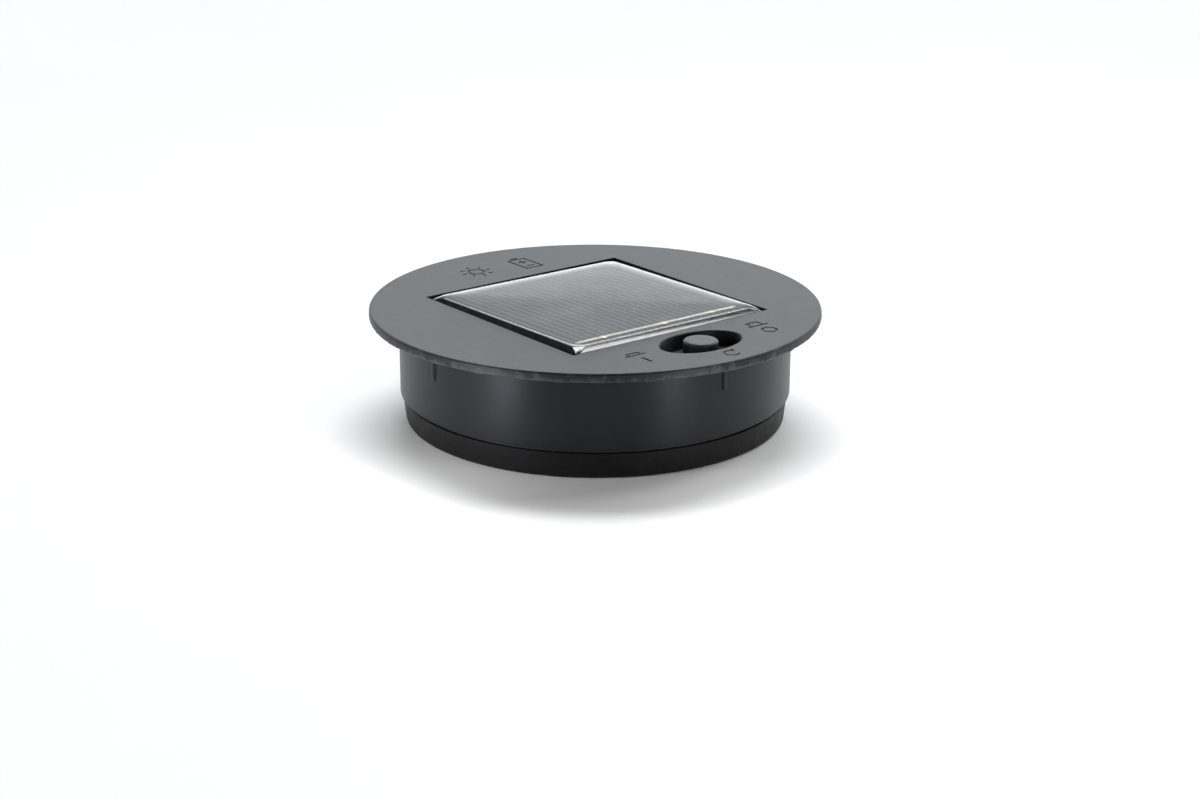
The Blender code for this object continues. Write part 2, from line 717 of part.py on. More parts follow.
def add_battery_bay(cover):
    outer_x = BAY_HALF_LENGTH + BAY_WALL
    join(
        cover,
        "bay_box",
        block(-outer_x, outer_x, BAY_Y0 - BAY_WALL, BAY_Y1 + BAY_WALL, FLOOR_TOP - OVERLAP, BAY_TOP + BAY_WALL),
    )
    for side in (-1, 1):
        ends = sorted((side * (BAY_HALF_LENGTH - GAP), side * (BAY_HALF_LENGTH + BEARING_LENGTH)))
        y0 = DOOR_AXIS_Y - BEARING_HALF
        bearing = block(*ends, y0, DOOR_AXIS_Y + BEARING_HALF, FOOT_RISE + LAYER_GAP, BEARING_TOP)
        join(cover, f"door_bearing_{side + 1}", bearing)
    cut(
        cover,
        "bay_hollow",
        block(-BAY_HALF_LENGTH, BAY_HALF_LENGTH, BAY_Y0, BAY_Y1, -THROUGH, BAY_TOP),
    )
    hole_end = BAY_HALF_LENGTH + DOOR_PIN_LENGTH
    radius = DOOR_PIN_RADIUS + DOOR_PIN_CLEARANCE
    cut_nail_scoop(cover)
    holes = rod_x(radius, -hole_end, hole_end, DOOR_AXIS_Y, DOOR_AXIS_Z, SMALL_ROUND)
    cut(cover, "door_pin_holes", holes)
    half_y, half_z = CONTACT_SLOT
    slots = block(
        -outer_x - THROUGH,
        outer_x + THROUGH,
        BAY_Y - half_y,
        BAY_Y + half_y,
        CONTACT_SLOT_Z - half_z,
        CONTACT_SLOT_Z + half_z,
    )
    cut(cover, "contact_slots", slots)


def cut_nail_scoop(cover):
    """A shallow scoop beside the door that lets a fingernail reach its edge."""
    centre = (SCOOP_X, BAY_Y0)
    bottom = FOOT_RISE + SCOOP_DEPTH
    heights = (FOOT_RISE - THROUGH, FOOT_RISE)
    rings = [ellipse(SCOOP_RADIUS, SCOOP_RADIUS, z, SMALL_ROUND, centre) for z in heights]
    rings.append(ellipse(SCOOP_RADIUS * 0.7, SCOOP_RADIUS * 0.7, bottom, SMALL_ROUND, centre))
    cut(cover, "nail_scoop", loft(rings))


def add_lens_seat(cover):
    seat_radius = LENS_RADIUS + GAP
    collar = [
        (seat_radius - OVERLAP, FLOOR_TOP - OVERLAP),
        (seat_radius + LENS_COLLAR, FLOOR_TOP - OVERLAP),
        (seat_radius + LENS_COLLAR, LENS_COLLAR_TOP),
        (seat_radius - OVERLAP, LENS_COLLAR_TOP),
    ]
    join(cover, "lens_collar", turned_ring(collar, LARGE_ROUND // 2))
    lip_top = FOOT_RISE + LENS_LIP
    bore = [
        (0, -THROUGH),
        (LENS_LIP_RADIUS, -THROUGH),
        (LENS_LIP_RADIUS, lip_top),
        (seat_radius, lip_top),
        (seat_radius, LENS_COLLAR_TOP + THROUGH),
        (0, LENS_COLLAR_TOP + THROUGH),
    ]
    cut(cover, "lens_bore", turned(bore, LARGE_ROUND // 2))


def make_bottom_cover():
    cover = add_object("bottom_cover", cover_shell(), cover_plastic())
    for degrees in TAB_ANGLES:
        join(cover, f"tab_{degrees}", locating_tab(degrees))
    for i, degrees in enumerate(COVER_SCREW_ANGLES, 1):
        centre = polar(COVER_SCREW_CIRCLE, degrees)
        pad = cylinder(COVER_PAD_RADIUS, FOOT_RISE + OVERLAP, COVER_PAD_TOP, SMALL_ROUND, centre)
        join(cover, f"screw_pad_{i}", pad)
    add_battery_bay(cover)
    add_lens_seat(cover)
    for i, degrees in enumerate(COVER_SCREW_ANGLES, 1):
        centre = polar(COVER_SCREW_CIRCLE, degrees)
        hole_radius = COVER_SCREW["shank_radius"] + GAP
        bore = [
            (0, -THROUGH),
            (HEAD_POCKET_RADIUS, -THROUGH),
            (HEAD_POCKET_RADIUS, HEAD_SEAT),
            (hole_radius, HEAD_SEAT),
            (hole_radius, COVER_PAD_TOP + THROUGH),
            (0, COVER_PAD_TOP + THROUGH),
        ]
        cut(cover, f"screw_pocket_{i}", turned(bore, SMALL_ROUND, centre))


def make_seal_ring():
    low = SHOULDER_TOP + LAYER_GAP
    high = low + SEAL_THICKNESS
    profile = [(SEAL_INNER, low), (SEAL_OUTER, low), (SEAL_OUTER, high), (SEAL_INNER, high)]
    add_object("seal_ring", turned_ring(profile, LARGE_ROUND), silicone())


def screw(name, centre, seat, head_radius, head_height, shank_radius, shank_length):
    """A round-headed screw driven upwards; its head's flat side is at the seat."""
    head_top = seat - LAYER_GAP
    tip = seat + shank_length
    profile = [
        (0, head_top - head_height),
        (head_radius * 0.7, head_top - head_height),
        (head_radius, head_top - head_height * 0.6),
        (head_radius, head_top),
        (shank_radius, head_top),
        (shank_radius, tip - shank_radius),
        (0, tip),
    ]
    head = add_object(name, turned(profile, SMALL_ROUND, centre), steel())
    bottom = head_top - head_height
    for i, (half_x, half_y) in enumerate(((0.7, 0.2), (0.2, 0.7))):
        x, y = centre
        arm = block(
            x - half_x * head_radius,
            x + half_x * head_radius,
            y - half_y * head_radius,
            y + half_y * head_radius,
            bottom - THROUGH,
            bottom + head_height / 2,
        )
        cut(head, f"{name}_recess_{i}", arm)


def make_screws():
    for i, degrees in enumerate(COVER_SCREW_ANGLES, 1):
        screw(f"cover_screw_{i}", polar(COVER_SCREW_CIRCLE, degrees), HEAD_SEAT, **COVER_SCREW)
    for i, x in enumerate((-BOARD_SCREW_X, BOARD_SCREW_X), 1):
        screw(f"board_screw_{i}", (x, BOARD_SCREW_Y), BOARD_BOTTOM, **BOARD_SCREW)


# ---------------------------------------------------------------- light


def make_light():
    lens_bottom = FOOT_RISE + LENS_LIP + LAYER_GAP
    lens = cylinder(LENS_RADIUS, lens_bottom, lens_bottom + LENS_THICKNESS, LARGE_ROUND // 2)
    add_object("led_lens", lens, resin())
    rim_bottom = CUP_TOP - CUP_WALL
    cup = [
        (CUP_MOUTH, CUP_BOTTOM),
        (LENS_RADIUS, CUP_BOTTOM),
        (LENS_RADIUS, CUP_BOTTOM + CUP_FLANGE),
        (CUP_MOUTH, CUP_BOTTOM + CUP_FLANGE),
        (CUP_THROAT + CUP_WALL + 0.6, rim_bottom - 1.0),
        (CUP_THROAT + CUP_WALL, rim_bottom),
        (CUP_RIM_RADIUS, rim_bottom),
        (CUP_RIM_RADIUS, CUP_TOP),
        (CUP_THROAT, CUP_TOP),
        (CUP_THROAT, rim_bottom),
        (CUP_THROAT + 1.6, CUP_BOTTOM + 2.2),
    ]
    add_object("reflector_cup", turned_ring(cup, LARGE_ROUND // 2), white_plastic())
    led_top = LED_BOARD_BOTTOM + LED_BOARD_THICKNESS
    led_disc = cylinder(LED_BOARD_RADIUS, LED_BOARD_BOTTOM, led_top, SMALL_ROUND)
    add_object("led_board", led_disc, board_laminate())
    profile = [(0, LED_BOARD_BOTTOM - LAYER_GAP), (LED_RADIUS, LED_BOARD_BOTTOM - LAYER_GAP)]
    for step in range(5):
        turn = math.pi / 2 * step / 5
        profile.append((LED_RADIUS * math.cos(turn), LED_TIP + LED_RADIUS * (1 - math.sin(turn))))
    profile.append((0, LED_TIP))
    add_object("led_bulb", turned(profile, SMALL_ROUND), resin())


# ---------------------------------------------------------------- battery


def make_battery():
    left = CELL_RIGHT - CELL_LENGTH
    shoulder = CELL_RIGHT - NUB_LENGTH
    count = SMALL_ROUND
    stations = [(left, CELL_RADIUS - 0.4), (left + 0.4, CELL_RADIUS), (shoulder - 0.4, CELL_RADIUS)]
    stations += [(shoulder, CELL_RADIUS - 0.4), (shoulder, NUB_RADIUS), (CELL_RIGHT, NUB_RADIUS)]
    rings = []
    for x, radius in stations:
        rings.append([(x, BAY_Y + py, CELL_Z + pz) for py, pz, _ in ellipse(radius, radius, 0, count)])
    add_object("battery_cell", loft(rings), material("cell_wrap", (0.1, 0.35, 0.2), 0.4))


def make_contacts():
    face = CELL_RIGHT + LAYER_GAP
    outside = BAY_HALF_LENGTH + BAY_WALL + TAB_REACH
    half = CONTACT_THICKNESS / 2
    y0, y1 = BAY_Y - CONTACT_HALF_WIDTH, BAY_Y + CONTACT_HALF_WIDTH
    sheet = block(face, face + CONTACT_THICKNESS, y0, y1, CONTACT_BOTTOM, CONTACT_SLOT_Z + half)
    plate = add_object("contact_plate", sheet, steel())
    tab_sides = (face + half, outside, BAY_Y - TAB_HALF_WIDTH, BAY_Y + TAB_HALF_WIDTH)
    join(plate, "contact_tab", block(*tab_sides, CONTACT_SLOT_Z - half, CONTACT_SLOT_Z + half))
    wall = -BAY_HALF_LENGTH + CONTACT_SPRING_CLEARANCE
    tip = CELL_RIGHT - CELL_LENGTH - CONTACT_SPRING_CLEARANCE
    count = CONTACT_SPRING_TURNS * 14
    path = [(-outside, BAY_Y, CONTACT_SLOT_Z), (wall - 0.5, BAY_Y, CONTACT_SLOT_Z)]
    for i in range(count + 1):
        share = i / count
        radius = CONTACT_SPRING_WIDE + (CONTACT_SPRING_NARROW - CONTACT_SPRING_WIDE) * share
        y, z = polar(radius, 90 + 360 * CONTACT_SPRING_TURNS * share)
        path.append((wall + (tip - wall) * share, BAY_Y + y, CELL_Z + z))
    tube("contact_spring", path, CONTACT_SPRING_WIRE, steel(), resolution=1)


def make_battery_door():
    """A flush door on a round hinge barrel, with a stub pin at each end."""
    half = BAY_HALF_LENGTH - GAP
    origin = (0, DOOR_AXIS_Y, DOOR_AXIS_Z)
    plate = block(-half, half, BAY_Y0 + GAP, DOOR_AXIS_Y, FOOT_RISE, FLOOR_TOP)
    door = add_object("battery_door", plate, cover_plastic(), origin=origin)
    join(door, "door_barrel", rod_x(DOOR_BARREL, -half, half, DOOR_AXIS_Y, DOOR_AXIS_Z, SMALL_ROUND))
    pin_end = BAY_HALF_LENGTH + DOOR_PIN_LENGTH - GAP
    join(door, "door_pins", rod_x(DOOR_PIN_RADIUS, -pin_end, pin_end, DOOR_AXIS_Y, DOOR_AXIS_Z, TINY_ROUND))


# ---------------------------------------------------------------- wires


def make_wires():
    """Six insulated wires, each between two solder pads."""
    red = material("red_wire", (0.6, 0.03, 0.03), 0.5)
    black = material("black_wire", (0.02, 0.02, 0.02), 0.5)
    pad = BOARD_TOP + LAYER_GAP
    panel_pad = PANEL_BOARD_BOTTOM - LAYER_GAP
    led_pad = LED_BOARD_BOTTOM + LED_BOARD_THICKNESS + LAYER_GAP
    outside = BAY_HALF_LENGTH + BAY_WALL + TAB_REACH
    tab_z = CONTACT_SLOT_Z
    # Way points in millimetres: down from the panel and the LED, and round the battery bay to the board.
    routes = {
        "panel_wire_red": (
            red,
            [(1.2, -14, panel_pad), (1.2, -14, 14.0), (2.6, -13.2, 10.5), (3.4, -12.6, pad)],
        ),
        "panel_wire_black": (
            black,
            [(-1.2, -14, panel_pad), (-1.2, -14, 14.0), (-2.6, -13.2, 10.5), (-3.4, -12.6, pad)],
        ),
        "led_wire_red": (
            red,
            [(3.0, -3.6, led_pad), (3.4, -4.4, 12.0), (5.6, -8.0, 12.0), (6.6, -10.2, pad)],
        ),
        "led_wire_black": (
            black,
            [(-3.0, -3.6, led_pad), (-3.4, -4.4, 12.0), (-5.6, -8.0, 12.0), (-6.6, -10.2, pad)],
        ),
        "battery_wire_red": (
            red,
            [
                (outside + GAP, BAY_Y, tab_z),
                (outside + 1.6, BAY_Y - 3.5, tab_z),
                (outside - 1.0, 4.0, 11.5),
                (19.0, -5.5, 11.0),
                (9.5, -8.2, 10.0),
                (8.6, -10.2, pad),
            ],
        ),
        "battery_wire_black": (
            black,
            [
                (-outside - GAP - 0.3, BAY_Y, tab_z),
                (-outside - 1.6, BAY_Y - 3.5, tab_z),
                (-outside + 1.0, 4.0, 11.5),
                (-19.0, -5.5, 11.0),
                (-9.5, -8.2, 10.0),
                (-8.6, -10.2, pad),
            ],
        ),
    }
    for name, (mat, points) in routes.items():
        tube(name, smooth_path(points, WIRE_STEPS), WIRE_RADIUS, mat)


def main():
    clear_scene()
    make_upper_housing()
    make_panel()
    make_button()
    make_switch()
    make_circuit_board()
    make_bottom_cover()
    make_seal_ring()
    make_screws()
    make_light()
    make_battery()
    make_contacts()
    make_battery_door()
    make_wires()


main()
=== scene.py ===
"""The looks of a round solar light insert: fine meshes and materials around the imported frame.

Lengths in the shape functions are in millimetres, and MM turns them into metres. Angles are in degrees.
"""

import math

import bmesh
import bpy
from mathutils import Matrix, Vector, noise


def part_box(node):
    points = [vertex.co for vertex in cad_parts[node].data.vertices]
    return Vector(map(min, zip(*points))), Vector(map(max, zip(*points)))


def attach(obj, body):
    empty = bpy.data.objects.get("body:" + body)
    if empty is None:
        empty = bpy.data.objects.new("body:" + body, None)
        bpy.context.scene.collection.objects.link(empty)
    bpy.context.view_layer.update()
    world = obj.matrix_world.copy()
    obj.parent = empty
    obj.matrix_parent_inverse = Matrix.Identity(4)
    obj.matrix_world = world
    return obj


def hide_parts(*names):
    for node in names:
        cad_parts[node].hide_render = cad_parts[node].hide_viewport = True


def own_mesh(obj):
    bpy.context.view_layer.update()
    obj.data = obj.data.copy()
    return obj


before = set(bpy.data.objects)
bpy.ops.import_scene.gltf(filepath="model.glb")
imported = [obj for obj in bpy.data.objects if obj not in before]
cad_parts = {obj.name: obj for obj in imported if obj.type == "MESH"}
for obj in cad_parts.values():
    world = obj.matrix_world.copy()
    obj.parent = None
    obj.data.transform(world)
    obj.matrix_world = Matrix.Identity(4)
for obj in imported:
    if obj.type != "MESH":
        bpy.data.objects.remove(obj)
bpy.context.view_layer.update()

MM = 0.001
THROUGH = 2.0  # how far a cutter runs past the face that it opens
OVERLAP = 0.6  # how far a moulded-on feature runs into its housing
GAP = 0.3  # clearance between neighbouring pieces


def mm_box(node):
    """A CAD node's lowest and highest corners in millimetres."""
    low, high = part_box(node)
    return low / MM, high / MM


housing_low, housing_high = mm_box("upper_housing")
cover_low, cover_high = mm_box("bottom_cover")
button_low, button_high = mm_box("button_cap")
dome_low, dome_high = mm_box("epoxy_dome")
cell_low, cell_high = mm_box("solar_cell")
ribbon_low, ribbon_high = mm_box("bus_ribbon")
lens_low, lens_high = mm_box("led_lens")
cup_low, cup_high = mm_box("reflector_cup")
bulb_low, bulb_high = mm_box("led_bulb")
battery_low, battery_high = mm_box("battery_cell")

# Housing
LID_TOP = housing_high.z
LID_UNDERSIDE = LID_TOP - 1.8
FLANGE_RADIUS = housing_high.x
FLANGE_UNDERSIDE = LID_TOP - 1.6
SKIRT_RADIUS = 34.8
SKIRT_INNER = 33.2
SKIRT_BOTTOM = 5.25
RIB_BOTTOM = 13.5
WINDOW_HALF = 21.53
TRAY_TOP = 17.25
TRAY_BOTTOM = 15.75

# Button and its dish
BUTTON_Y = (button_low.y + button_high.y) / 2
BUTTON_RADIUS = 3.0
DISH_TOP = (8.1, 5.2)
DISH_FLOOR = (7.3, 4.6)
DISH_DEPTH = 2.6
DISH_WALL = (9.4, 5.9)
DISH_UNDERSIDE = LID_TOP - DISH_DEPTH - 1.2

# Base cover
FOOT_RISE = 0.4
FLOOR_TOP = 1.9
BASE_RADIUS = 33.9
SHOULDER_RADIUS = cover_high.x
SHOULDER_TOP = 4.65
COVER_INNER = 32.3
SCREW_CIRCLE = 27.5
SCREW_ANGLES = (90, 210, 330)
HEAD_SEAT = 2.1
BAY_Y = (battery_low.y + battery_high.y) / 2
BAY_HALF_LENGTH = 24.5
BAY_HALF_WIDTH = 5.55
BAY_WALL = 1.0
BAY_TOP = cover_high.z - BAY_WALL
BAY_Y0 = BAY_Y - BAY_HALF_WIDTH
BAY_Y1 = BAY_Y + BAY_HALF_WIDTH
SLOT_Z = 11.7
DOOR_AXIS = (18.35, 1.7)
DOOR_BARREL = 1.3
SCOOP_X = 15.0

# Panel
PANEL_TURN = math.radians(0.6)
PANEL_CENTRE = (dome_low + dome_high) / 2
PANEL_HALF = 21.0
DOME_SETTLE = 0.34  # the resin lies lower towards its +X +Y corner, where this share of its depth is lost
DOME_BOTTOM = LID_TOP - 1.2
board_top = mm_box("solar_board")[1].z
FINGER_PITCH = 1.49
FINGER_WIDTH = 0.12
FINGER_COUNT = 25

# Marks moulded into the lid
MARK_DEPTH = 0.16
STROKE = 0.38

# Camera
CAMERA_AZIMUTH = -38.5
CAMERA_ELEVATION = 18.99
CAMERA_ROLL = 0.243
CAMERA_DISTANCE = 414.6
TARGET = Vector((0.705, -0.561, LID_TOP - 18.18))
LENS = 69.13

# Light: two upright cards beside the object, a box for the resin's near edge, and soft bands of sky behind.
# A card is its angle from the camera, width and radiance. The box is its azimuth, elevation, width, height
# and radiance. A band is its lowest and highest elevation, its strength, and how far round from the camera
# it begins on the right and on the left.
CARDS = {"left_card": (-40, 14, 10.4), "right_card": (34, 12, 6.4)}
CARD_HEIGHT = 40
CARD_DISTANCE = 73
EDGE_BOX = (63, 50, 78, 90, 9.0)
EDGE_BOX_DISTANCE = 300
SKY_BANDS = (
    (-95, 13, 2.6, 110, 110),
    (13, 29, 0.38, 110, 110),
    (29, 41, 5.0, 130, 160),
    (52, 66, 15.0, 142, 142),
)
SKY_SOFTNESS = 3
BAND_END_SOFTNESS = 10
SKY_FILL = 0.02

# Facets
FINE = 384
ROUND = 96
SMALL = 48


# ---------------------------------------------------------------- shapes


def loft(rings, closed=False):
    """A solid through rings of points; a ring of one point closes it to a tip."""
    bm = bmesh.new()
    loops = [[bm.verts.new(point) for point in ring] for ring in rings]
    pairs = list(zip(loops, loops[1:] + loops[:1])) if closed else list(zip(loops, loops[1:]))
    for low, high in pairs:
        count = max(len(low), len(high))
        for i in range(count):
            j = (i + 1) % count
            corners = [low[i % len(low)], low[j % len(low)], high[j % len(high)], high[i % len(high)]]
            bm.faces.new(list(dict.fromkeys(corners)))
    if not closed:
        for end in (loops[0], loops[-1]):
            if len(end) > 2:
                bm.faces.new(end)
    return bm


def ellipse(half_x, half_y, z, count, centre=(0, 0)):
    turns = [2 * math.pi * i / count for i in range(count)]
    return [(centre[0] + half_x * math.cos(t), centre[1] + half_y * math.sin(t), z) for t in turns]


def arc(centre, radius, start, end, steps):
    """Points of an arc from one angle to another, for profiles and outlines."""
    points = []
    for i in range(steps + 1):
        turn = math.radians(start + (end - start) * i / steps)
        points.append((centre[0] + radius * math.cos(turn), centre[1] + radius * math.sin(turn)))
    return points


def turned(profile, count, centre=(0, 0), closed=False):
    """Spins a (radius, height) profile: an open one ends on the axis, a closed one stays off it."""
    rings = []
    for radius, z in profile:
        rings.append([(*centre, z)] if radius == 0 else ellipse(radius, radius, z, count, centre))
    return loft(rings, closed)


def cylinder(radius, z0, z1, count, centre=(0, 0)):
    return loft([ellipse(radius, radius, z, count, centre) for z in (z0, z1)])


def prism(outline, z0, z1):
    return loft([[(x, y, z) for x, y in outline] for z in (z0, z1)])


def block(x0, x1, y0, y1, z0, z1):
    return prism([(x0, y0), (x1, y0), (x1, y1), (x0, y1)], z0, z1)


def rod_x(radius, x0, x1, y, z, count):
    rings = [[(x, y + py, z + pz) for py, pz, _ in ellipse(radius, radius, 0, count)] for x in (x0, x1)]
    return loft(rings)


def rounded_square(half, corner, z, steps=6, half_y=None):
    half_y = half if half_y is None else half_y
    ring = []
    for quarter, (sx, sy) in enumerate(((1, 1), (-1, 1), (-1, -1), (1, -1))):
        middle = (sx * (half - corner), sy * (half_y - corner))
        ring += [(x, y, z) for x, y in arc(middle, corner, 90 * quarter, 90 * quarter + 90, steps)]
    return ring


def polar(radius, degrees):
    turn = math.radians(degrees)
    return radius * math.cos(turn), radius * math.sin(turn)


def strip(points, width):
    """The outline of a stroke of one width along a path in the plane, with square ends."""
    left, right = [], []
    for i, point in enumerate(points):
        before = Vector(points[max(i - 1, 0)])
        after = Vector(points[min(i + 1, len(points) - 1)])
        along = (after - before).normalized()
        side = Vector((-along.y, along.x)) * width / 2
        left.append(tuple(Vector(point) + side))
        right.append(tuple(Vector(point) - side))
    return left + right[::-1]


# ---------------------------------------------------------------- objects


def add_object(name, bm, smooth_angle=32):
    """Turns a bmesh in millimetres into a smooth-shaded object in metres."""
    bmesh.ops.remove_doubles(bm, verts=bm.verts, dist=1e-4)
    bmesh.ops.recalc_face_normals(bm, faces=bm.faces)
    bmesh.ops.scale(bm, verts=bm.verts, vec=(MM, MM, MM))
    mesh = bpy.data.meshes.new(name)
    bm.to_mesh(mesh)
    bm.free()
    mesh.shade_smooth()
    mesh.set_sharp_from_angle(angle=math.radians(smooth_angle))
    obj = bpy.data.objects.new(name, mesh)
    bpy.context.scene.collection.objects.link(obj)
    return obj


def combine(target, bm, operation):
    """Joins a tool to the target or cuts it away, and leaves only the result."""
    tool = add_object("tool", bm)
    modifier = target.modifiers.new("combine", "BOOLEAN")
    modifier.operation = operation
    modifier.solver = "EXACT"
    modifier.object = tool
    apply_modifiers(target)
    bpy.data.objects.remove(tool)


def apply_modifiers(obj):
    bpy.context.view_layer.update()
    graph = bpy.context.evaluated_depsgraph_get()
    mesh = bpy.data.meshes.new_from_object(obj.evaluated_get(graph))
    old = obj.data
    obj.modifiers.clear()
    obj.data = mesh
    bpy.data.meshes.remove(old)
    mesh.name = obj.name


def join(target, *tools):
    for bm in tools:
        combine(target, bm, "UNION")


def cut(target, *tools):
    for bm in tools:
        combine(target, bm, "DIFFERENCE")


def even_shading(obj, smooth_angle=32):
    """Keeps large flat faces flat and lets narrow rounded edges carry the turn of the surface."""
    obj.data.set_sharp_from_angle(angle=math.radians(smooth_angle))
    bm = bmesh.new()
    bm.from_mesh(obj.data)
    for edge in bm.edges:
        level = [abs(face.normal.z) > 0.99999 for face in edge.link_faces]
        if any(level) and not all(level):
            edge.smooth = False
    bm.to_mesh(obj.data)
    bm.free()
    modifier = obj.modifiers.new("even_shading", "WEIGHTED_NORMAL")
    modifier.keep_sharp = True
    modifier.weight = 100


def soften(obj, width, segments=2, angle=40):
    """Rounds the edges of a simple piece."""
    modifier = obj.modifiers.new("soften", "BEVEL")
    modifier.width = width * MM
    modifier.segments = segments
    modifier.limit_method = "ANGLE"
    modifier.angle_limit = math.radians(angle)
    modifier.harden_normals = True


def fit(piece, body, slot, *nodes):
    """Puts a fine piece in place of its CAD nodes."""
    if nodes:
        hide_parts(*nodes)
    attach(piece, body)
    return piece


# ---------------------------------------------------------------- materials


class Shader:
    """A small builder for procedural Principled materials in object space."""

    def __init__(self, name, roughness=0.5, metallic=0.0):
        self.material = bpy.data.materials.new(name)
        self.material.use_nodes = True
        self.tree = self.material.node_tree
        self.surface = self.tree.nodes["Principled BSDF"]
        self.surface.inputs["Roughness"].default_value = roughness
        self.surface.inputs["Metallic"].default_value = metallic
        self.place = self.tree.nodes.new("ShaderNodeTexCoord").outputs["Object"]
        self.height = None

    def set(self, **values):
        for name, value in values.items():
            self.surface.inputs[name.replace("_", " ")].default_value = value
        return self

    def noise(self, size, detail=2.0, stretch=(1, 1, 1), rough=0.5):
        """Cloudy noise whose features are about size millimetres across."""
        mapping = self.tree.nodes.new("ShaderNodeMapping")
        mapping.inputs["Scale"].default_value = stretch
        node = self.tree.nodes.new("ShaderNodeTexNoise")
        node.inputs["Scale"].default_value = 1 / (size * MM)
        node.inputs["Detail"].default_value = detail
        node.inputs["Roughness"].default_value = rough
        self.tree.links.new(self.place, mapping.inputs["Vector"])
        self.tree.links.new(mapping.outputs["Vector"], node.inputs["Vector"])
        return node.outputs["Fac"]

    def cells(self, size):
        """Small cells about size millimetres across, such as spark-eroded craters."""
        node = self.tree.nodes.new("ShaderNodeTexVoronoi")
        node.inputs["Scale"].default_value = 1 / (size * MM)
        self.tree.links.new(self.place, node.inputs["Vector"])
        return node.outputs["Distance"]

    def remap(self, value, low, high, to_low, to_high):
        node = self.tree.nodes.new("ShaderNodeMapRange")
        for name, number in (("From Min", low), ("From Max", high), ("To Min", to_low), ("To Max", to_high)):
            node.inputs[name].default_value = number
        self.tree.links.new(value, node.inputs["Value"])
        return node.outputs["Result"]

    def mix(self, fac, dark, light):
        node = self.tree.nodes.new("ShaderNodeMix")
        node.data_type = "RGBA"
        self.tree.links.new(fac, node.inputs["Factor"])
        for socket, colour in (("A", dark), ("B", light)):
            target = [s for s in node.inputs if s.name == socket and s.type == "RGBA"][0]
            if isinstance(colour, tuple):
                target.default_value = (*colour, 1.0)
            else:
                self.tree.links.new(colour, target)
        return [s for s in node.outputs if s.type == "RGBA"][0]

    def maths(self, operation, a, b=None):
        node = self.tree.nodes.new("ShaderNodeMath")
        node.operation = operation
        for socket, value in zip(node.inputs, (a, b)):
            if value is None:
                continue
            if isinstance(value, (int, float)):
                socket.default_value = value
            else:
                self.tree.links.new(value, socket)
        return node.outputs["Value"]

    def axis(self, name):
        """One coordinate of the point, in metres."""
        node = self.tree.nodes.new("ShaderNodeSeparateXYZ")
        self.tree.links.new(self.place, node.inputs["Vector"])
        return node.outputs[name]

    def colour(self, value):
        if isinstance(value, tuple):
            self.surface.inputs["Base Color"].default_value = (*value, 1.0)
        else:
            self.tree.links.new(value, self.surface.inputs["Base Color"])
        return self

    def rough(self, value):
        self.tree.links.new(value, self.surface.inputs["Roughness"])
        return self

    def bump(self, value, depth):
        """Adds relief of the given depth in millimetres on top of earlier relief."""
        node = self.tree.nodes.new("ShaderNodeBump")
        node.inputs["Distance"].default_value = depth * MM
        node.inputs["Strength"].default_value = 1.0
        self.tree.links.new(value, node.inputs["Height"])
        if self.height is not None:
            self.tree.links.new(self.height, node.inputs["Normal"])
        self.height = node.outputs["Normal"]
        self.tree.links.new(self.height, self.surface.inputs["Normal"])
        return self


def lid_plastic():
    """Black plastic with a fine spark-eroded grain."""
    s = Shader("lid_plastic")
    grain = s.noise(0.16, 3)
    mottle = s.noise(2.2, 4, rough=0.6)
    speck = s.noise(0.42, 3, rough=0.7)
    tone = s.mix(s.remap(mottle, 0.3, 0.7, 0, 1), (0.019, 0.025, 0.031), (0.031, 0.038, 0.045))
    s.colour(s.mix(s.remap(speck, 0.35, 0.75, 0, 1), tone, (0.058, 0.064, 0.07)))
    s.rough(s.remap(speck, 0.3, 0.7, 0.44, 0.56))
    s.set(Specular_IOR_Level=0.3)
    s.bump(mottle, 0.02)
    s.bump(speck, 0.03)
    s.bump(grain, 0.015)
    return s.material


def skirt_plastic():
    """The same plastic where it is smooth: soft flow marks and a satin shine."""
    s = Shader("skirt_plastic")
    flow = s.noise(9.0, 3, stretch=(1, 1, 0.35))
    fine = s.noise(0.5, 2)
    s.colour(s.mix(s.remap(flow, 0.35, 0.65, 0, 1), (0.006, 0.0065, 0.0075), (0.01, 0.011, 0.013)))
    s.rough(s.remap(flow, 0.3, 0.7, 0.36, 0.44))
    s.set(Specular_Tint=(0.36, 0.38, 0.43, 1.0))
    s.bump(flow, 0.03)
    s.bump(fine, 0.002)
    return s.material


def mark_plastic():
    """The rough floors of the engraved marks."""
    s = Shader("mark_plastic", roughness=0.7)
    s.colour(s.mix(s.noise(0.3, 2), (0.006, 0.006, 0.007), (0.012, 0.012, 0.013)))
    s.set(Specular_Tint=(0.25, 0.25, 0.27, 1.0))
    s.bump(s.noise(0.12, 2), 0.01)
    return s.material


def rim_plastic():
    """The flange's edge: the grain runs out over the parting line, with a mottle of wear, and painted shade
    under the lid's edge that turns to painted light towards the parting line.
    """
    s = Shader("rim_plastic")
    grain = s.noise(0.2, 3)
    wear = s.noise(1.6, 4, rough=0.65)
    # Painted shade and light: low makes the rim's colour darker under the lid's edge and lighter towards the
    # parting line below; the wear noise is the plastic's own mottle.
    low = s.remap(s.axis("Z"), FLANGE_UNDERSIDE * MM, (LID_TOP - 0.5) * MM, 0.12, -0.1)
    wear_and_painted_light = s.remap(s.maths("ADD", wear, low), 0.42, 0.66, 0, 1)
    s.colour(s.mix(wear_and_painted_light, (0.007, 0.008, 0.01), (0.05, 0.05, 0.05)))
    s.rough(s.remap(wear, 0.3, 0.7, 0.42, 0.56))
    s.set(Specular_Tint=(0.5, 0.52, 0.56, 1.0))
    s.bump(wear, 0.05)
    s.bump(grain, 0.02)
    return s.material


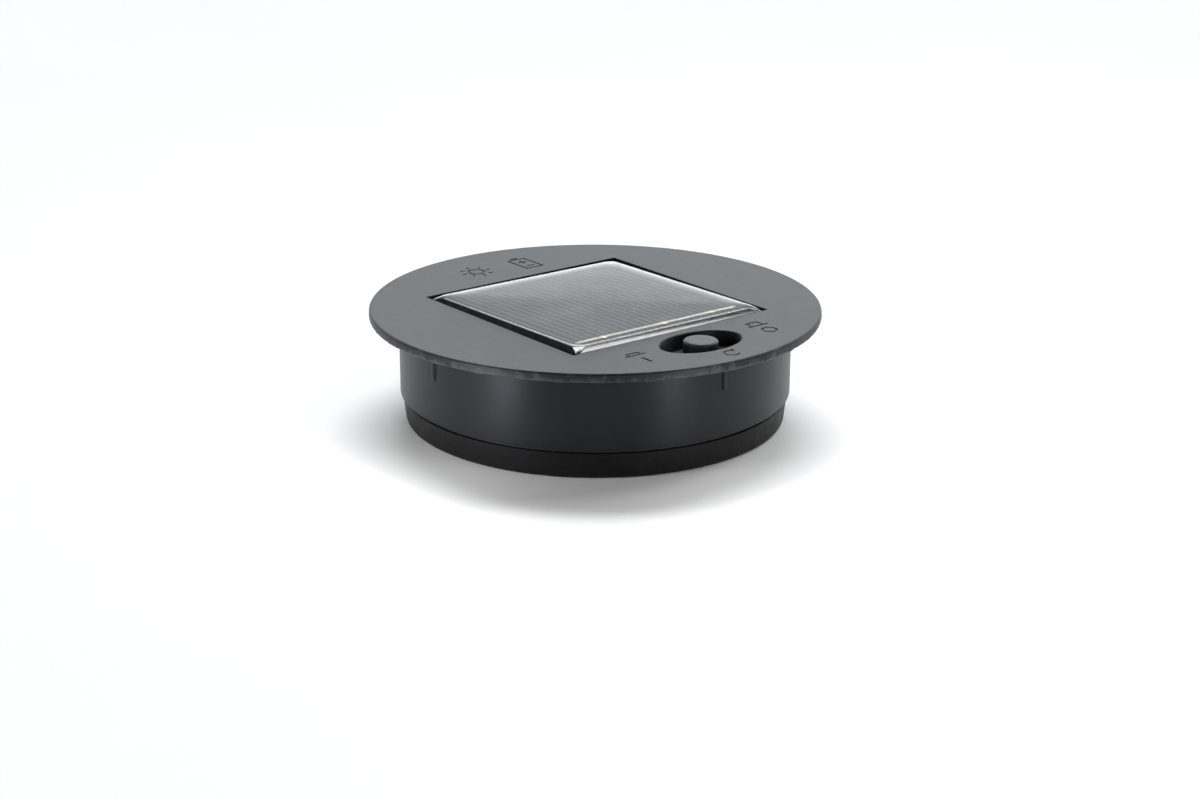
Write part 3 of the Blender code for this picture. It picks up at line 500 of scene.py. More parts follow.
def inner_plastic():
    s = Shader("inner_plastic")
    flow = s.noise(4.0, 3)
    s.colour(s.mix(flow, (0.006, 0.006, 0.007), (0.01, 0.01, 0.011)))
    s.rough(s.remap(flow, 0.3, 0.7, 0.4, 0.55))
    s.set(Specular_Tint=(0.4, 0.4, 0.42, 1.0))
    s.bump(s.noise(0.4, 2), 0.006)
    return s.material


def cover_plastic():
    """Black plastic with a coarse moulded texture."""
    s = Shader("cover_plastic")
    coarse = s.cells(0.42)
    cloud = s.noise(3.0, 3)
    s.colour(s.mix(s.remap(cloud, 0.35, 0.65, 0, 1), (0.005, 0.0048, 0.0052), (0.008, 0.0076, 0.0084)))
    s.rough(s.remap(cloud, 0.3, 0.7, 0.5, 0.62))
    s.set(Specular_Tint=(0.3, 0.3, 0.32, 1.0))
    s.bump(coarse, 0.05)
    s.bump(s.noise(0.18, 2), 0.02)
    return s.material


def button_plastic():
    s = Shader("button_plastic")
    mottle = s.noise(1.4, 3)
    s.colour(s.mix(s.remap(mottle, 0.3, 0.7, 0, 1), (0.026, 0.028, 0.03), (0.038, 0.041, 0.044)))
    s.rough(s.remap(mottle, 0.3, 0.7, 0.36, 0.44))
    s.set(Specular_IOR_Level=0.3)
    s.bump(s.noise(0.12, 2), 0.006)
    return s.material


def resin():
    """Clear potting resin with a faint ripple and a trace of haze."""
    s = Shader("resin", roughness=0.06)
    ripple = s.noise(7.0, 2)
    s.colour(s.mix(s.remap(s.noise(3.0, 3), 0.3, 0.7, 0, 1), (0.86, 0.89, 0.93), (0.93, 0.95, 0.97)))
    s.rough(s.remap(ripple, 0.3, 0.7, 0.04, 0.1))
    s.set(Transmission_Weight=1.0, IOR=1.5)
    s.bump(ripple, 0.004)
    return s.material


def resin_edge():
    """The resin's moulded slope, dark from the board under it, with a satin shine."""
    s = Shader("resin_edge")
    haze = s.noise(1.5, 3)
    s.colour(s.mix(s.remap(haze, 0.3, 0.7, 0, 1), (0.008, 0.009, 0.011), (0.016, 0.017, 0.02)))
    s.rough(s.remap(haze, 0.3, 0.7, 0.16, 0.22))
    s.set(Specular_IOR_Level=1.0)
    s.bump(haze, 0.003)
    return s.material


def silicon():
    """Dark blue-grey silicon with the flakes of a cast wafer."""
    s = Shader("silicon")
    flakes = s.cells(3.2)
    fine = s.noise(0.5, 3, stretch=(3, 0.4, 1))
    tone = s.mix(s.remap(flakes, 0.0, 0.7, 0, 1), (0.024, 0.026, 0.031), (0.036, 0.038, 0.045))
    s.colour(s.mix(s.remap(fine, 0.35, 0.65, 0, 0.6), tone, (0.05, 0.052, 0.06)))
    s.rough(s.remap(fine, 0.3, 0.7, 0.35, 0.5))
    s.bump(fine, 0.003)
    s.set(Specular_IOR_Level=0.7)
    return s.material


def metal(name, dark, light, roughness, grain=(1, 1, 1), depth=0.003):
    s = Shader(name, metallic=1.0)
    brushed = s.noise(0.25, 4, stretch=grain)
    s.colour(s.mix(s.remap(brushed, 0.3, 0.7, 0, 1), dark, light))
    s.rough(s.remap(brushed, 0.3, 0.7, roughness * 0.8, roughness * 1.25))
    s.bump(brushed, depth)
    return s.material


def moulded(name, dark, light, roughness, size=1.2, depth=0.006):
    s = Shader(name)
    cloud = s.noise(size, 3)
    s.colour(s.mix(s.remap(cloud, 0.3, 0.7, 0, 1), dark, light))
    s.rough(s.remap(cloud, 0.3, 0.7, roughness * 0.85, roughness * 1.15))
    s.bump(s.noise(size / 6, 2), depth)
    return s.material


def laminate(name, mask, track):
    """Printed circuit board: solder mask over faint square copper tracks."""
    s = Shader(name)
    fibre = s.noise(0.35, 2, stretch=(1, 0.3, 1))
    rows = s.maths("PINGPONG", s.maths("MULTIPLY", s.axis("X"), 1 / (2.4 * MM)), 0.5)
    lines = s.maths("GREATER_THAN", rows, 0.36)
    s.colour(s.mix(s.maths("MULTIPLY", lines, 0.7), s.mix(fibre, mask, tuple(c * 1.4 for c in mask)), track))
    s.rough(s.remap(fibre, 0.3, 0.7, 0.3, 0.45))
    s.bump(lines, 0.03)
    return s.material


def clear_plastic(name, tint, roughness):
    s = Shader(name, roughness=roughness)
    haze = s.noise(1.8, 3)
    s.colour(s.mix(haze, tint, tuple(min(1.0, c * 1.05) for c in tint)))
    s.rough(s.remap(haze, 0.3, 0.7, roughness * 0.7, roughness * 1.4))
    s.set(Transmission_Weight=0.92, IOR=1.49)
    return s.material


def phosphor():
    s = Shader("phosphor", roughness=0.25)
    grain = s.noise(0.3, 2)
    s.colour(s.mix(grain, (0.75, 0.68, 0.32), (0.86, 0.82, 0.55)))
    s.set(Coat_Weight=0.8, Subsurface_Weight=0.15)
    return s.material


def battery_wrap():
    """A shrink sleeve: green body with a grey band at the positive end."""
    s = Shader("battery_wrap", roughness=0.3)
    band = s.maths("GREATER_THAN", s.axis("X"), (battery_high.x - 11) * MM)
    scuff = s.noise(2.5, 4)
    green = s.mix(s.remap(scuff, 0.4, 0.7, 0, 1), (0.03, 0.2, 0.09), (0.05, 0.26, 0.13))
    s.colour(s.mix(band, green, (0.42, 0.43, 0.44)))
    s.rough(s.remap(scuff, 0.3, 0.7, 0.22, 0.4))
    s.bump(s.noise(6.0, 2), 0.03)
    return s.material


def paint(obj, *materials):
    obj.data.materials.clear()
    for material in materials:
        obj.data.materials.append(material)


def paint_faces(obj, choose):
    """Gives each face the material index that choose returns for its centre and normal, in millimetres."""
    for face in obj.data.polygons:
        face.material_index = choose(face.center / MM, face.normal)


# ---------------------------------------------------------------- upper housing


def housing_profile():
    edge, lower, root, foot = 0.4, 0.35, 0.5, 0.18
    return (
        [(0, LID_TOP)]
        + arc((FLANGE_RADIUS - edge, LID_TOP - edge), edge, 90, 0, 5)
        + arc((FLANGE_RADIUS - lower, FLANGE_UNDERSIDE + lower), lower, 0, -90, 4)
        + arc((SKIRT_RADIUS + root, FLANGE_UNDERSIDE - root), root, 90, 180, 4)
        + [(SKIRT_RADIUS, z) for z in (17.2, 15.6, 14.2, 12.8, 11.2, 9.6, 8.0, 6.6)]
        + arc((SKIRT_RADIUS - foot, SKIRT_BOTTOM + foot), foot, 0, -90, 3)
        + [(SKIRT_INNER + foot, SKIRT_BOTTOM), (SKIRT_INNER, SKIRT_BOTTOM + foot)]
        + [(SKIRT_INNER, LID_UNDERSIDE - root), (SKIRT_INNER - root, LID_UNDERSIDE), (0, LID_UNDERSIDE)]
    )


def rough_parting_line(bm):
    """Leaves a slightly ragged line of flash along the flange's lower edge."""
    for vertex in bm.verts:
        radius = math.hypot(vertex.co.x, vertex.co.y)
        on_edge = radius > FLANGE_RADIUS - 0.5 and vertex.co.z < FLANGE_UNDERSIDE + 0.5
        if not on_edge:
            continue
        spot = Vector((vertex.co.x, vertex.co.y, 0))
        ragged = noise.noise(spot * 0.9) * 0.16 + max(0, noise.noise(spot * 0.35) - 0.2) * 0.5
        outward = spot.normalized() * ragged * 0.5
        vertex.co += Vector((outward.x, outward.y, -abs(ragged) * 0.9))


def skirt_ribs():
    """Four slim ribs with rounded lower ends, one on each axis."""
    ribs = []
    for degrees in (0, 90, 180, 270):
        out = Matrix.Rotation(math.radians(degrees), 4, "Z")
        half, proud = 0.45, 0.35
        top = FLANGE_UNDERSIDE + OVERLAP
        foot = RIB_BOTTOM + half
        rings = [[out @ Vector((SKIRT_RADIUS - OVERLAP, y, z)) for y, z in rib_outline(half, foot, top)]]
        for i in range(7):
            turn = math.radians(90 * i / 6)
            x = SKIRT_RADIUS + proud * math.sin(turn)
            outline = rib_outline(half * (0.25 + 0.75 * math.cos(turn)), foot, top)
            rings.append([out @ Vector((x, y, z)) for y, z in outline])
        ribs.append(loft(rings))
    return ribs


def rib_outline(half, foot, top):
    return [(-half, top), *arc((0, foot), half, 180, 360, 8), (half, top)]


def housing_bosses():
    bosses = []
    for degrees in SCREW_ANGLES:
        bosses.append(cylinder(2.8, 3.9, LID_UNDERSIDE + OVERLAP, SMALL, polar(SCREW_CIRCLE, degrees)))
    for x in (-11.5, 11.5):
        bosses.append(cylinder(2.4, 5.6, TRAY_BOTTOM + OVERLAP, SMALL, (x, -12.2)))
    return bosses


def boss_holes():
    holes = [cylinder(1.2, 0, 9.4, 24, polar(SCREW_CIRCLE, degrees)) for degrees in SCREW_ANGLES]
    return holes + [cylinder(1.0, 0, 10.9, 24, (x, -12.2)) for x in (-11.5, 11.5)]


def window_cutter():
    lip = 0.12
    rings = [rounded_square(WINDOW_HALF, 0.12, z, 2) for z in (TRAY_TOP, LID_TOP - lip)]
    rings.append(rounded_square(WINDOW_HALF + lip * 0.35, 0.15, LID_TOP - lip * 0.35, 2))
    rings.append(rounded_square(WINDOW_HALF + lip, 0.2, LID_TOP, 2))
    rings.append(rounded_square(WINDOW_HALF + lip + THROUGH, 0.5, LID_TOP + THROUGH, 2))
    return loft(rings)


def dish_cutter():
    """The oval finger dish: a flat floor, a rounded foot, a sloped wall and a soft lip."""
    centre = (0, BUTTON_Y)
    floor = LID_TOP - DISH_DEPTH
    (top_x, top_y), (low_x, low_y) = DISH_TOP, DISH_FLOOR
    rings = [ellipse(low_x - 0.4, low_y - 0.4, floor, ROUND, centre)]
    rings.append(ellipse(low_x - 0.1, low_y - 0.1, floor + 0.12, ROUND, centre))
    rings.append(ellipse(low_x, low_y, floor + 0.4, ROUND, centre))
    for drop, grow in ((0.25, -0.12), (0.1, -0.05), (0.0, 0.1)):
        rings.append(ellipse(top_x + grow, top_y + grow, LID_TOP - drop, ROUND, centre))
    rings.append(ellipse(top_x + THROUGH, top_y + THROUGH, LID_TOP + THROUGH * 0.4, ROUND, centre))
    return loft(rings)


def mark(outline):
    return prism(outline, LID_TOP - MARK_DEPTH, LID_TOP + THROUGH)


def ring_mark(centre, radius):
    half = STROKE / 2
    heights = (LID_TOP - MARK_DEPTH, LID_TOP + THROUGH)
    profile = [(radius - half, heights[0]), (radius + half, heights[0])]
    profile += [(radius + half, heights[1]), (radius - half, heights[1])]
    return turned(profile, SMALL, centre, closed=True)


def box_outline_marks(centre, half_x, half_y):
    """The four strokes of a rectangle, which meet at its corners."""
    cx, cy = centre
    corners = [(cx - half_x, cy - half_y), (cx + half_x, cy - half_y), (cx + half_x, cy + half_y)]
    corners.append((cx - half_x, cy + half_y))
    marks = []
    for (x0, y0), (x1, y1) in zip(corners, corners[1:] + corners[:1]):
        reach = STROKE / 2
        dx, dy = (reach, 0) if y0 == y1 else (0, reach)
        sign = 1 if (x1 + y1) > (x0 + y0) else -1
        ends = [(x0 - dx * sign, y0 - dy * sign), (x1 - dx * sign, y1 - dy * sign)]
        marks.append(mark(strip(ends, STROKE)))
    return marks


def sun_marks(centre):
    """A small sun: a ring and eight rays."""
    marks = [ring_mark(centre, 1.5)]
    for i in range(8):
        near, far = polar(2.15, 45 * i), polar(3.1, 45 * i)
        marks.append(mark(strip([(centre[0] + p[0], centre[1] + p[1]) for p in (near, far)], STROKE)))
    return marks


def battery_marks(centre):
    """A battery outline with its nub and a plus sign."""
    cx, cy = centre
    marks = box_outline_marks(centre, 1.8, 3.0)
    tip = [(cx - 0.8, cy + 3.4), (cx + 0.8, cy + 3.4), (cx + 0.8, cy + 4.0), (cx - 0.8, cy + 4.0)]
    marks.append(mark(tip))
    half, arm = STROKE / 2, 0.95
    plus = [(-half, -arm), (half, -arm), (half, -half), (arm, -half), (arm, half), (half, half)]
    plus += [(half, arm), (-half, arm), (-half, half), (-arm, half), (-arm, -half), (-half, -half)]
    marks.append(mark([(cx + x, cy + y + 1.0) for x, y in plus]))
    marks.append(mark(strip([(cx - arm, cy - 1.6), (cx + arm, cy - 1.6)], STROKE)))
    return marks


def key_marks(centre, raised):
    """A push key seen from the side, standing on its base line or pressed down to it."""
    cx, cy = centre
    height = 1.5 if raised else 0.7
    marks = [mark(strip([(cx - 2.2, cy - 1.1), (cx + 2.2, cy - 1.1)], STROKE))]
    low, high = cy - 0.75, cy - 0.75 + height
    key = [(cx - 1.2, low), (cx - 1.2, high), (cx + 1.2, high), (cx + 1.2, low)]
    for start, end in zip(key, key[1:]):
        shift = STROKE / 2 if start[0] != end[0] else 0
        marks.append(mark(strip([(start[0] - shift, start[1]), (end[0] + shift, end[1])], STROKE)))
    return marks


def lid_marks():
    """Generic pictograms: sun and battery, key positions with bar and ring, and a push arrow."""
    marks = sun_marks((-4.9, 29.4)) + battery_marks((5.8, 28.6))
    marks += key_marks((-13.4, -26.6), raised=False) + key_marks((13.8, -26.6), raised=True)
    marks.append(mark(strip([(-13.4, -31.9), (-13.4, -29.3)], STROKE * 1.3)))
    marks.append(ring_mark((13.8, -30.6), 1.25))
    marks.append(mark(strip(arc((0, -36.4), 1.25, 50, 320, 24), STROKE)))
    marks.append(mark([(1.6, -35.5), (0.35, -35.9), (1.1, -34.8)]))
    return marks


def make_housing():
    bm = turned(housing_profile(), FINE)
    rough_parting_line(bm)
    housing = add_object("upper_housing_fine", bm)
    tray_half = WINDOW_HALF + 1.4
    join(housing, block(-tray_half, tray_half, -tray_half, tray_half, TRAY_BOTTOM, LID_UNDERSIDE + OVERLAP))
    wall_heights = (DISH_UNDERSIDE, LID_UNDERSIDE + OVERLAP)
    join(housing, loft([ellipse(*DISH_WALL, z, ROUND, (0, BUTTON_Y)) for z in wall_heights]))
    join(housing, *housing_bosses(), *skirt_ribs())
    cut(housing, window_cutter(), block(-3, 3, -16, -12, TRAY_BOTTOM - THROUGH, TRAY_TOP + THROUGH))
    floor = LID_TOP - DISH_DEPTH
    hole = cylinder(BUTTON_RADIUS + GAP, DISH_UNDERSIDE - THROUGH, floor + THROUGH / 4, SMALL, (0, BUTTON_Y))
    cut(housing, dish_cutter(), hole, *boss_holes(), *lid_marks())
    paint(housing, lid_plastic(), rim_plastic(), skirt_plastic(), inner_plastic(), mark_plastic())
    paint_faces(housing, housing_face)
    even_shading(housing)
    fit(housing, "housing", "housing_plastic", "upper_housing")


def housing_face(centre, normal):
    """Which of the housing's finishes a face has: 0 lid, 1 rim, 2 skirt, 3 inside, 4 engraved marks."""
    radius = math.hypot(centre.x, centre.y)
    if centre.z > LID_TOP - 0.13 and radius < FLANGE_RADIUS and (normal.z > 0.9 or radius < SKIRT_RADIUS - 9):
        return 0 if centre.z > LID_TOP - 0.02 else 4
    if radius > FLANGE_RADIUS - 0.38 and centre.z > FLANGE_UNDERSIDE - 0.3:
        return 0 if centre.z > LID_TOP - 0.12 else 1
    if radius > SKIRT_RADIUS - 0.3:
        return 2
    return 3


# ---------------------------------------------------------------- solar panel


def panel_place():
    """From the panel's own frame to the housing's: a small turn in the window."""
    turn = Matrix.Rotation(PANEL_TURN, 4, "Z")
    return Matrix.Translation((0, PANEL_CENTRE.y, 0)) @ turn


def make_dome():
    """Potted resin: a sharp-cornered foot, a sloped edge with rounder corners, and a low crown."""
    foot = PANEL_HALF
    bond = board_top - 0.05
    crown = LID_TOP + 1.0
    foot_corner, top_corner = 0.6, 2.6
    steps = 10
    rings = [rounded_square(foot, foot_corner, z, steps) for z in (bond, LID_TOP - 0.3)]
    slope = [(0.02, -0.2), (0.08, -0.1), (0.14, -0.03), (0.75, 0.6)]
    slope += [(0.95, 0.72), (1.3, 0.79), (1.9, 0.85), (2.8, 0.9)]
    for inset, height in slope:
        corner = foot_corner + (top_corner - foot_corner) * min(1.0, inset / 1.2)
        rings.append(rounded_square(foot - inset, corner, LID_TOP + height, steps))
    roll, edge = slope[-1][0], LID_TOP + slope[-1][1]
    for i in range(1, 15):
        share = 1 - i / 15
        height = edge + (crown - edge) * (1 - share**2)
        rings.append(rounded_square((foot - roll) * share, top_corner * share, height, steps))
    bm = loft(rings)
    for vert in bm.verts:
        x, y, z = vert.co
        lost = DOME_SETTLE * (x + y + 2 * PANEL_HALF) / (4 * PANEL_HALF)
        if z > DOME_BOTTOM:
            vert.co.z = DOME_BOTTOM + (z - DOME_BOTTOM) * (1 - lost)
    bmesh.ops.transform(bm, matrix=panel_place(), verts=bm.verts)
    dome = add_object("epoxy_dome_fine", bm, 50)
    paint(dome, resin(), resin_edge())
    paint_faces(dome, lambda centre, normal: 1 if normal.z < 0.85 else 0)
    dome.visible_shadow = False
    fit(dome, "housing", "epoxy_resin", "epoxy_dome")


def make_fingers():
    """The cell's printed silver fingers."""
    bm = bmesh.new()
    reach = cell_high.y - PANEL_CENTRE.y - 0.6
    top = cell_high.z + 0.012
    for i in range(FINGER_COUNT):
        x = (i - (FINGER_COUNT - 1) / 2) * FINGER_PITCH
        y0 = -reach if i not in (0, FINGER_COUNT - 1) else -reach + 1
        box = bmesh.ops.create_cube(bm, size=1)["verts"]
        bmesh.ops.scale(bm, verts=box, vec=(FINGER_WIDTH, reach - y0, 0.02))
        bmesh.ops.translate(bm, verts=box, vec=(x, (reach + y0) / 2, top))
    bmesh.ops.transform(bm, matrix=panel_place(), verts=bm.verts)
    fingers = add_object("cell_fingers", bm)
    paint(fingers, metal("silver_print", (0.26, 0.26, 0.27), (0.36, 0.36, 0.36), 0.6, depth=0.002))
    fit(fingers, "housing", "bus_ribbon_tin")


def make_ribbon():
    """The tinned ribbon with rounded ends, slightly wavy, and its solder joints."""
    half_length, half_width = 17.9, 0.42
    count = 72
    upper, lower = [], []
    for i in range(count + 1):
        x = -half_length + 2 * half_length * i / count
        wave = noise.noise(Vector((x * 0.3, 0, 0))) * 0.12
        end = math.sqrt(max(0.0, 1 - max(0.0, (abs(x) - half_length + 0.6) / 0.6) ** 2)) or 0.15
        upper.append((x, -16.9 + wave + half_width * end))
        lower.append((x, -16.9 + wave - half_width * end))
    bm = prism(lower + upper[::-1], ribbon_low.z, ribbon_high.z)
    bmesh.ops.transform(bm, matrix=panel_place(), verts=bm.verts)
    ribbon = add_object("bus_ribbon_fine", bm)
    paint(ribbon, metal("tinned_ribbon", (0.36, 0.34, 0.3), (0.55, 0.53, 0.47), 0.42, (0.2, 1, 1), 0.01))
    fit(ribbon, "housing", "bus_ribbon_tin", "bus_ribbon")
    for i, x in enumerate((-12.0, 1.5, 12.5)):
        blob = turned([(0, ribbon_high.z + 0.08), (0.4, ribbon_high.z + 0.06), (0.6, ribbon_high.z + 0.005)]
                      + [(0.56, ribbon_high.z - 0.02), (0, ribbon_high.z - 0.02)], 24)
        bmesh.ops.transform(blob, matrix=panel_place() @ Matrix.Translation((x, -16.9, 0)), verts=blob.verts)
        joint = add_object(f"ribbon_solder_{i + 1}", blob, 60)
        paint(joint, metal(f"solder_{i + 1}", (0.5, 0.44, 0.3), (0.7, 0.64, 0.48), 0.35))
        fit(joint, "housing", "bus_ribbon_tin")


# ---------------------------------------------------------------- button


def make_button():
    edge = 0.5
    top, bottom = button_high.z, button_low.z
    collar_top = bottom + 1.2
    profile = [(0, top - 0.04), (1.4, top - 0.02)]
    profile += arc((BUTTON_RADIUS - edge, top - edge), edge, 90, 0, 7)
    profile += [(BUTTON_RADIUS, collar_top + 0.2), (BUTTON_RADIUS + 0.2, collar_top), (3.8, collar_top)]
    profile += [(3.9, collar_top - 0.1), (3.9, bottom + 0.1), (3.8, bottom), (1.45, bottom)]
    profile += [(1.45, bottom + 3.2), (0, bottom + 3.2)]
    button = add_object("button_cap_fine", turned(profile, ROUND, (0, BUTTON_Y)))
    paint(button, button_plastic())
    even_shading(button)
    fit(button, "button", "button_plastic", "button_cap")


# ---------------------------------------------------------------- base cover and door


def cover_profile():
    low, shoulder = 0.9, 0.12
    return (
        [(0, FOOT_RISE), (31.25, FOOT_RISE)]
        + arc((31.95, 0.25), 0.25, 160, 270, 4)
        + arc((BASE_RADIUS - low, low), low, -90, 0, 7)
        + arc((SHOULDER_RADIUS - shoulder, SHOULDER_TOP - shoulder), shoulder, 0, 90, 3)
        + [(COVER_INNER, SHOULDER_TOP), (COVER_INNER, FLOOR_TOP), (0, FLOOR_TOP)]
    )


def cover_additions():
    parts = []
    for degrees in (0, 90, 180, 225, 315):
        outer = arc((0, 0), 32.9, degrees - 9, degrees + 9, 10)
        inner = arc((0, 0), 31.6, degrees + 9, degrees - 9, 10)
        parts.append(prism(outer + inner, FLOOR_TOP - OVERLAP, 8.0))
    for degrees in SCREW_ANGLES:
        parts.append(cylinder(4.0, FOOT_RISE + OVERLAP, 3.6, SMALL, polar(SCREW_CIRCLE, degrees)))
    x = BAY_HALF_LENGTH + BAY_WALL
    parts.append(block(-x, x, BAY_Y0 - BAY_WALL, BAY_Y1 + BAY_WALL, FLOOR_TOP - OVERLAP, BAY_TOP + BAY_WALL))
    for side in (-1, 1):
        ends = sorted((side * (BAY_HALF_LENGTH - GAP), side * (BAY_HALF_LENGTH + 1.6)))
        parts.append(block(*ends, DOOR_AXIS[0] - 2, DOOR_AXIS[0] + 2, FOOT_RISE + 0.1, 3.8))
    collar = [(7.0, 1.3), (8.4, 1.3), (8.4, 4.0), (7.0, 4.0)]
    parts.append(turned(collar, ROUND, closed=True))
    return parts


def stepped_bore(steps, centre=(0, 0), count=ROUND):
    """A cutter for a counterbored hole: (radius, height) steps from below upwards."""
    profile = [(0, -THROUGH)]
    for radius, z in steps:
        profile += [(radius, profile[-1][1]), (radius, z)]
    profile.append((0, profile[-1][1]))
    return turned(profile, count, centre)


def cover_cuts():
    cuts = [block(-BAY_HALF_LENGTH, BAY_HALF_LENGTH, BAY_Y0, BAY_Y1, -THROUGH, BAY_TOP)]
    scoop = [ellipse(3.7, 3.7, FOOT_RISE - THROUGH, SMALL, (SCOOP_X, BAY_Y0))]
    for i in range(7):
        turn = math.radians(90 * i / 6)
        radius = 3.7 * math.cos(turn) + 0.02
        scoop.append(ellipse(radius, radius, FOOT_RISE + 0.7 * math.sin(turn), SMALL, (SCOOP_X, BAY_Y0)))
    cuts.append(loft(scoop))
    pin_end = BAY_HALF_LENGTH + 1.3
    cuts.append(rod_x(0.85, -pin_end, pin_end, *DOOR_AXIS, SMALL))
    slot_end = BAY_HALF_LENGTH + BAY_WALL + THROUGH
    cuts.append(block(-slot_end, slot_end, BAY_Y - 1.3, BAY_Y + 1.3, SLOT_Z - 0.5, SLOT_Z + 0.5))
    cuts.append(stepped_bore([(7.0, FOOT_RISE + 0.15), (6.6, 1.2), (7.6, 6.0)]))
    for degrees in SCREW_ANGLES:
        steps = [(2.75, FOOT_RISE + 0.15), (2.6, HEAD_SEAT), (1.3, 5.6)]
        cuts.append(stepped_bore(steps, polar(SCREW_CIRCLE, degrees), SMALL))
    return cuts


def make_cover():
    cover = add_object("bottom_cover_fine", turned(cover_profile(), 288))
    join(cover, *cover_additions())
    cut(cover, *cover_cuts())
    paint(cover, cover_plastic(), inner_plastic())
    paint_faces(cover, lambda centre, normal: 0 if is_outside(centre) else 1)
    even_shading(cover)
    fit(cover, "housing", "cover_plastic", "bottom_cover")


def is_outside(centre):
    return math.hypot(centre.x, centre.y) > COVER_INNER + 0.8 or centre.z < FOOT_RISE + 0.2


def make_door():
    """The battery door: a flush plate on a round barrel, with grip bars and an engraved arrow."""
    half = BAY_HALF_LENGTH - GAP
    y0 = BAY_Y0 + GAP
    door = add_object("battery_door_fine", block(-half, half, y0, DOOR_AXIS[0], FOOT_RISE, FLOOR_TOP))
    soften(door, 0.18)
    apply_modifiers(door)
    pin_end = BAY_HALF_LENGTH + 1.0
    barrel = rod_x(DOOR_BARREL, -half, half, *DOOR_AXIS, SMALL)
    join(door, barrel, rod_x(0.7, -pin_end, pin_end, *DOOR_AXIS, 24))
    for i in range(4):
        x = SCOOP_X - 2.4 + 1.6 * i
        outline = arc((x, y0 + 1.3), 0.3, 180, 360, 6) + arc((x, y0 + 3.2), 0.3, 0, 180, 6)
        join(door, prism(outline, FOOT_RISE - 0.22, FOOT_RISE + 0.5))
    arrow = [(SCOOP_X - 1.4, y0 + 6.4), (SCOOP_X + 1.4, y0 + 6.4), (SCOOP_X, y0 + 4.6)]
    cut(door, prism(arrow, -THROUGH, FOOT_RISE + 0.2))
    paint(door, cover_plastic())
    even_shading(door)
    fit(door, "battery_door", "cover_plastic", "battery_door")


# ---------------------------------------------------------------- screws, light and battery


def screw_mesh():
    """A domed head with a cross recess on a threaded shank, at the origin of its seat."""
    head, height, shank, length = 2.3, 1.3, 0.93, 7.0
    profile = [(0, -height), (0.6, -height + 0.02), (1.3, -height + 0.14), (1.9, -height + 0.42)]
    profile += [(head, -0.55), (head, -0.2), (head - 0.12, -0.1), (shank, -0.1)]
    pitch = 0.7
    z = 0.2
    while z < length - 1.2:
        profile += [(shank, z), (1.12, z + pitch * 0.25), (shank, z + pitch * 0.5)]
        z += pitch
    profile += [(shank * 0.7, length - 0.6), (0, length)]
    screw = add_object("screw_pattern", turned(profile, SMALL))
    for half_x, half_y in ((1.55, 0.34), (0.34, 1.55)):
        rings = [[(sx * half_x * f, sy * half_y * f, z) for sx, sy in ((-1, -1), (1, -1), (1, 1), (-1, 1))]
                 for f, z in ((1.15, -height - 0.5), (0.55, -height + 0.95))]
        cut(screw, loft(rings))
    mesh = screw.data
    bpy.data.objects.remove(screw)
    return mesh


def make_screws():
    mesh = screw_mesh()
    zinc = metal("zinc_plate", (0.42, 0.42, 0.43), (0.66, 0.66, 0.65), 0.3, depth=0.004)
    for i, degrees in enumerate(SCREW_ANGLES, 1):
        screw = bpy.data.objects.new(f"cover_screw_{i}_fine", mesh.copy())
        bpy.context.scene.collection.objects.link(screw)
        x, y = polar(SCREW_CIRCLE, degrees)
        screw.location = Vector((x, y, HEAD_SEAT)) * MM
        screw.rotation_euler = (0, 0, math.radians(23 + 41 * i))
        paint(screw, zinc)
        even_shading(screw, 38)
        fit(screw, "housing", "screw_steel", f"cover_screw_{i}")


def make_lens():
    """A clear lens with fine moulded rings that spread the light."""
    low, high, radius = lens_low.z, lens_high.z, lens_high.x
    profile = [(0, low + 0.02)]
    rings = 7
    for i in range(rings):
        near = 0.9 * i
        profile += [(near + 0.25, low), (near + 0.85, low + 0.14)]
    profile += [(6.45, low), (radius - 0.1, low), (radius, low + 0.1), (radius, high - 0.1)]
    profile += [(radius - 0.1, high), (0, high)]
    lens = add_object("led_lens_fine", turned(profile, ROUND))
    paint(lens, clear_plastic("lens_plastic", (0.93, 0.95, 0.96), 0.12))
    lens.visible_shadow = False
    fit(lens, "housing", "lens_clear", "led_lens")


def make_reflector():
    """A metallised cup whose inside follows a deep bowl."""
    mouth, throat, low, high, wall = 6.2, 3.0, cup_low.z, cup_high.z, 0.8
    inside = []
    for i in range(13):
        share = i / 12
        inside.append((mouth - (mouth - throat) * share**1.8, low + (high - wall - low) * share))
    profile = inside + [(throat, high), (4.9, high), (4.9, high - wall), (throat + wall, high - wall)]
    outside = [(radius + wall, z) for radius, z in reversed(inside[3:-1])]
    profile += outside + [(cup_high.x, low + wall), (cup_high.x, low)]
    cup = add_object("reflector_cup_fine", turned(profile, ROUND, closed=True), 40)
    paint(cup, metal("vacuum_silver", (0.82, 0.83, 0.84), (0.95, 0.95, 0.95), 0.12, depth=0.002))
    fit(cup, "housing", "reflector_silver", "reflector_cup")


def make_bulb():
    radius, tip, top = 2.5, bulb_low.z, bulb_high.z
    profile = [(0, tip)] + arc((0, tip + radius), radius, -80, 0, 9) + [(radius, top), (0, top)]
    bulb = add_object("led_bulb_fine", turned(profile, SMALL), 50)
    paint(bulb, phosphor())
    fit(bulb, "housing", "led_epoxy", "led_bulb")


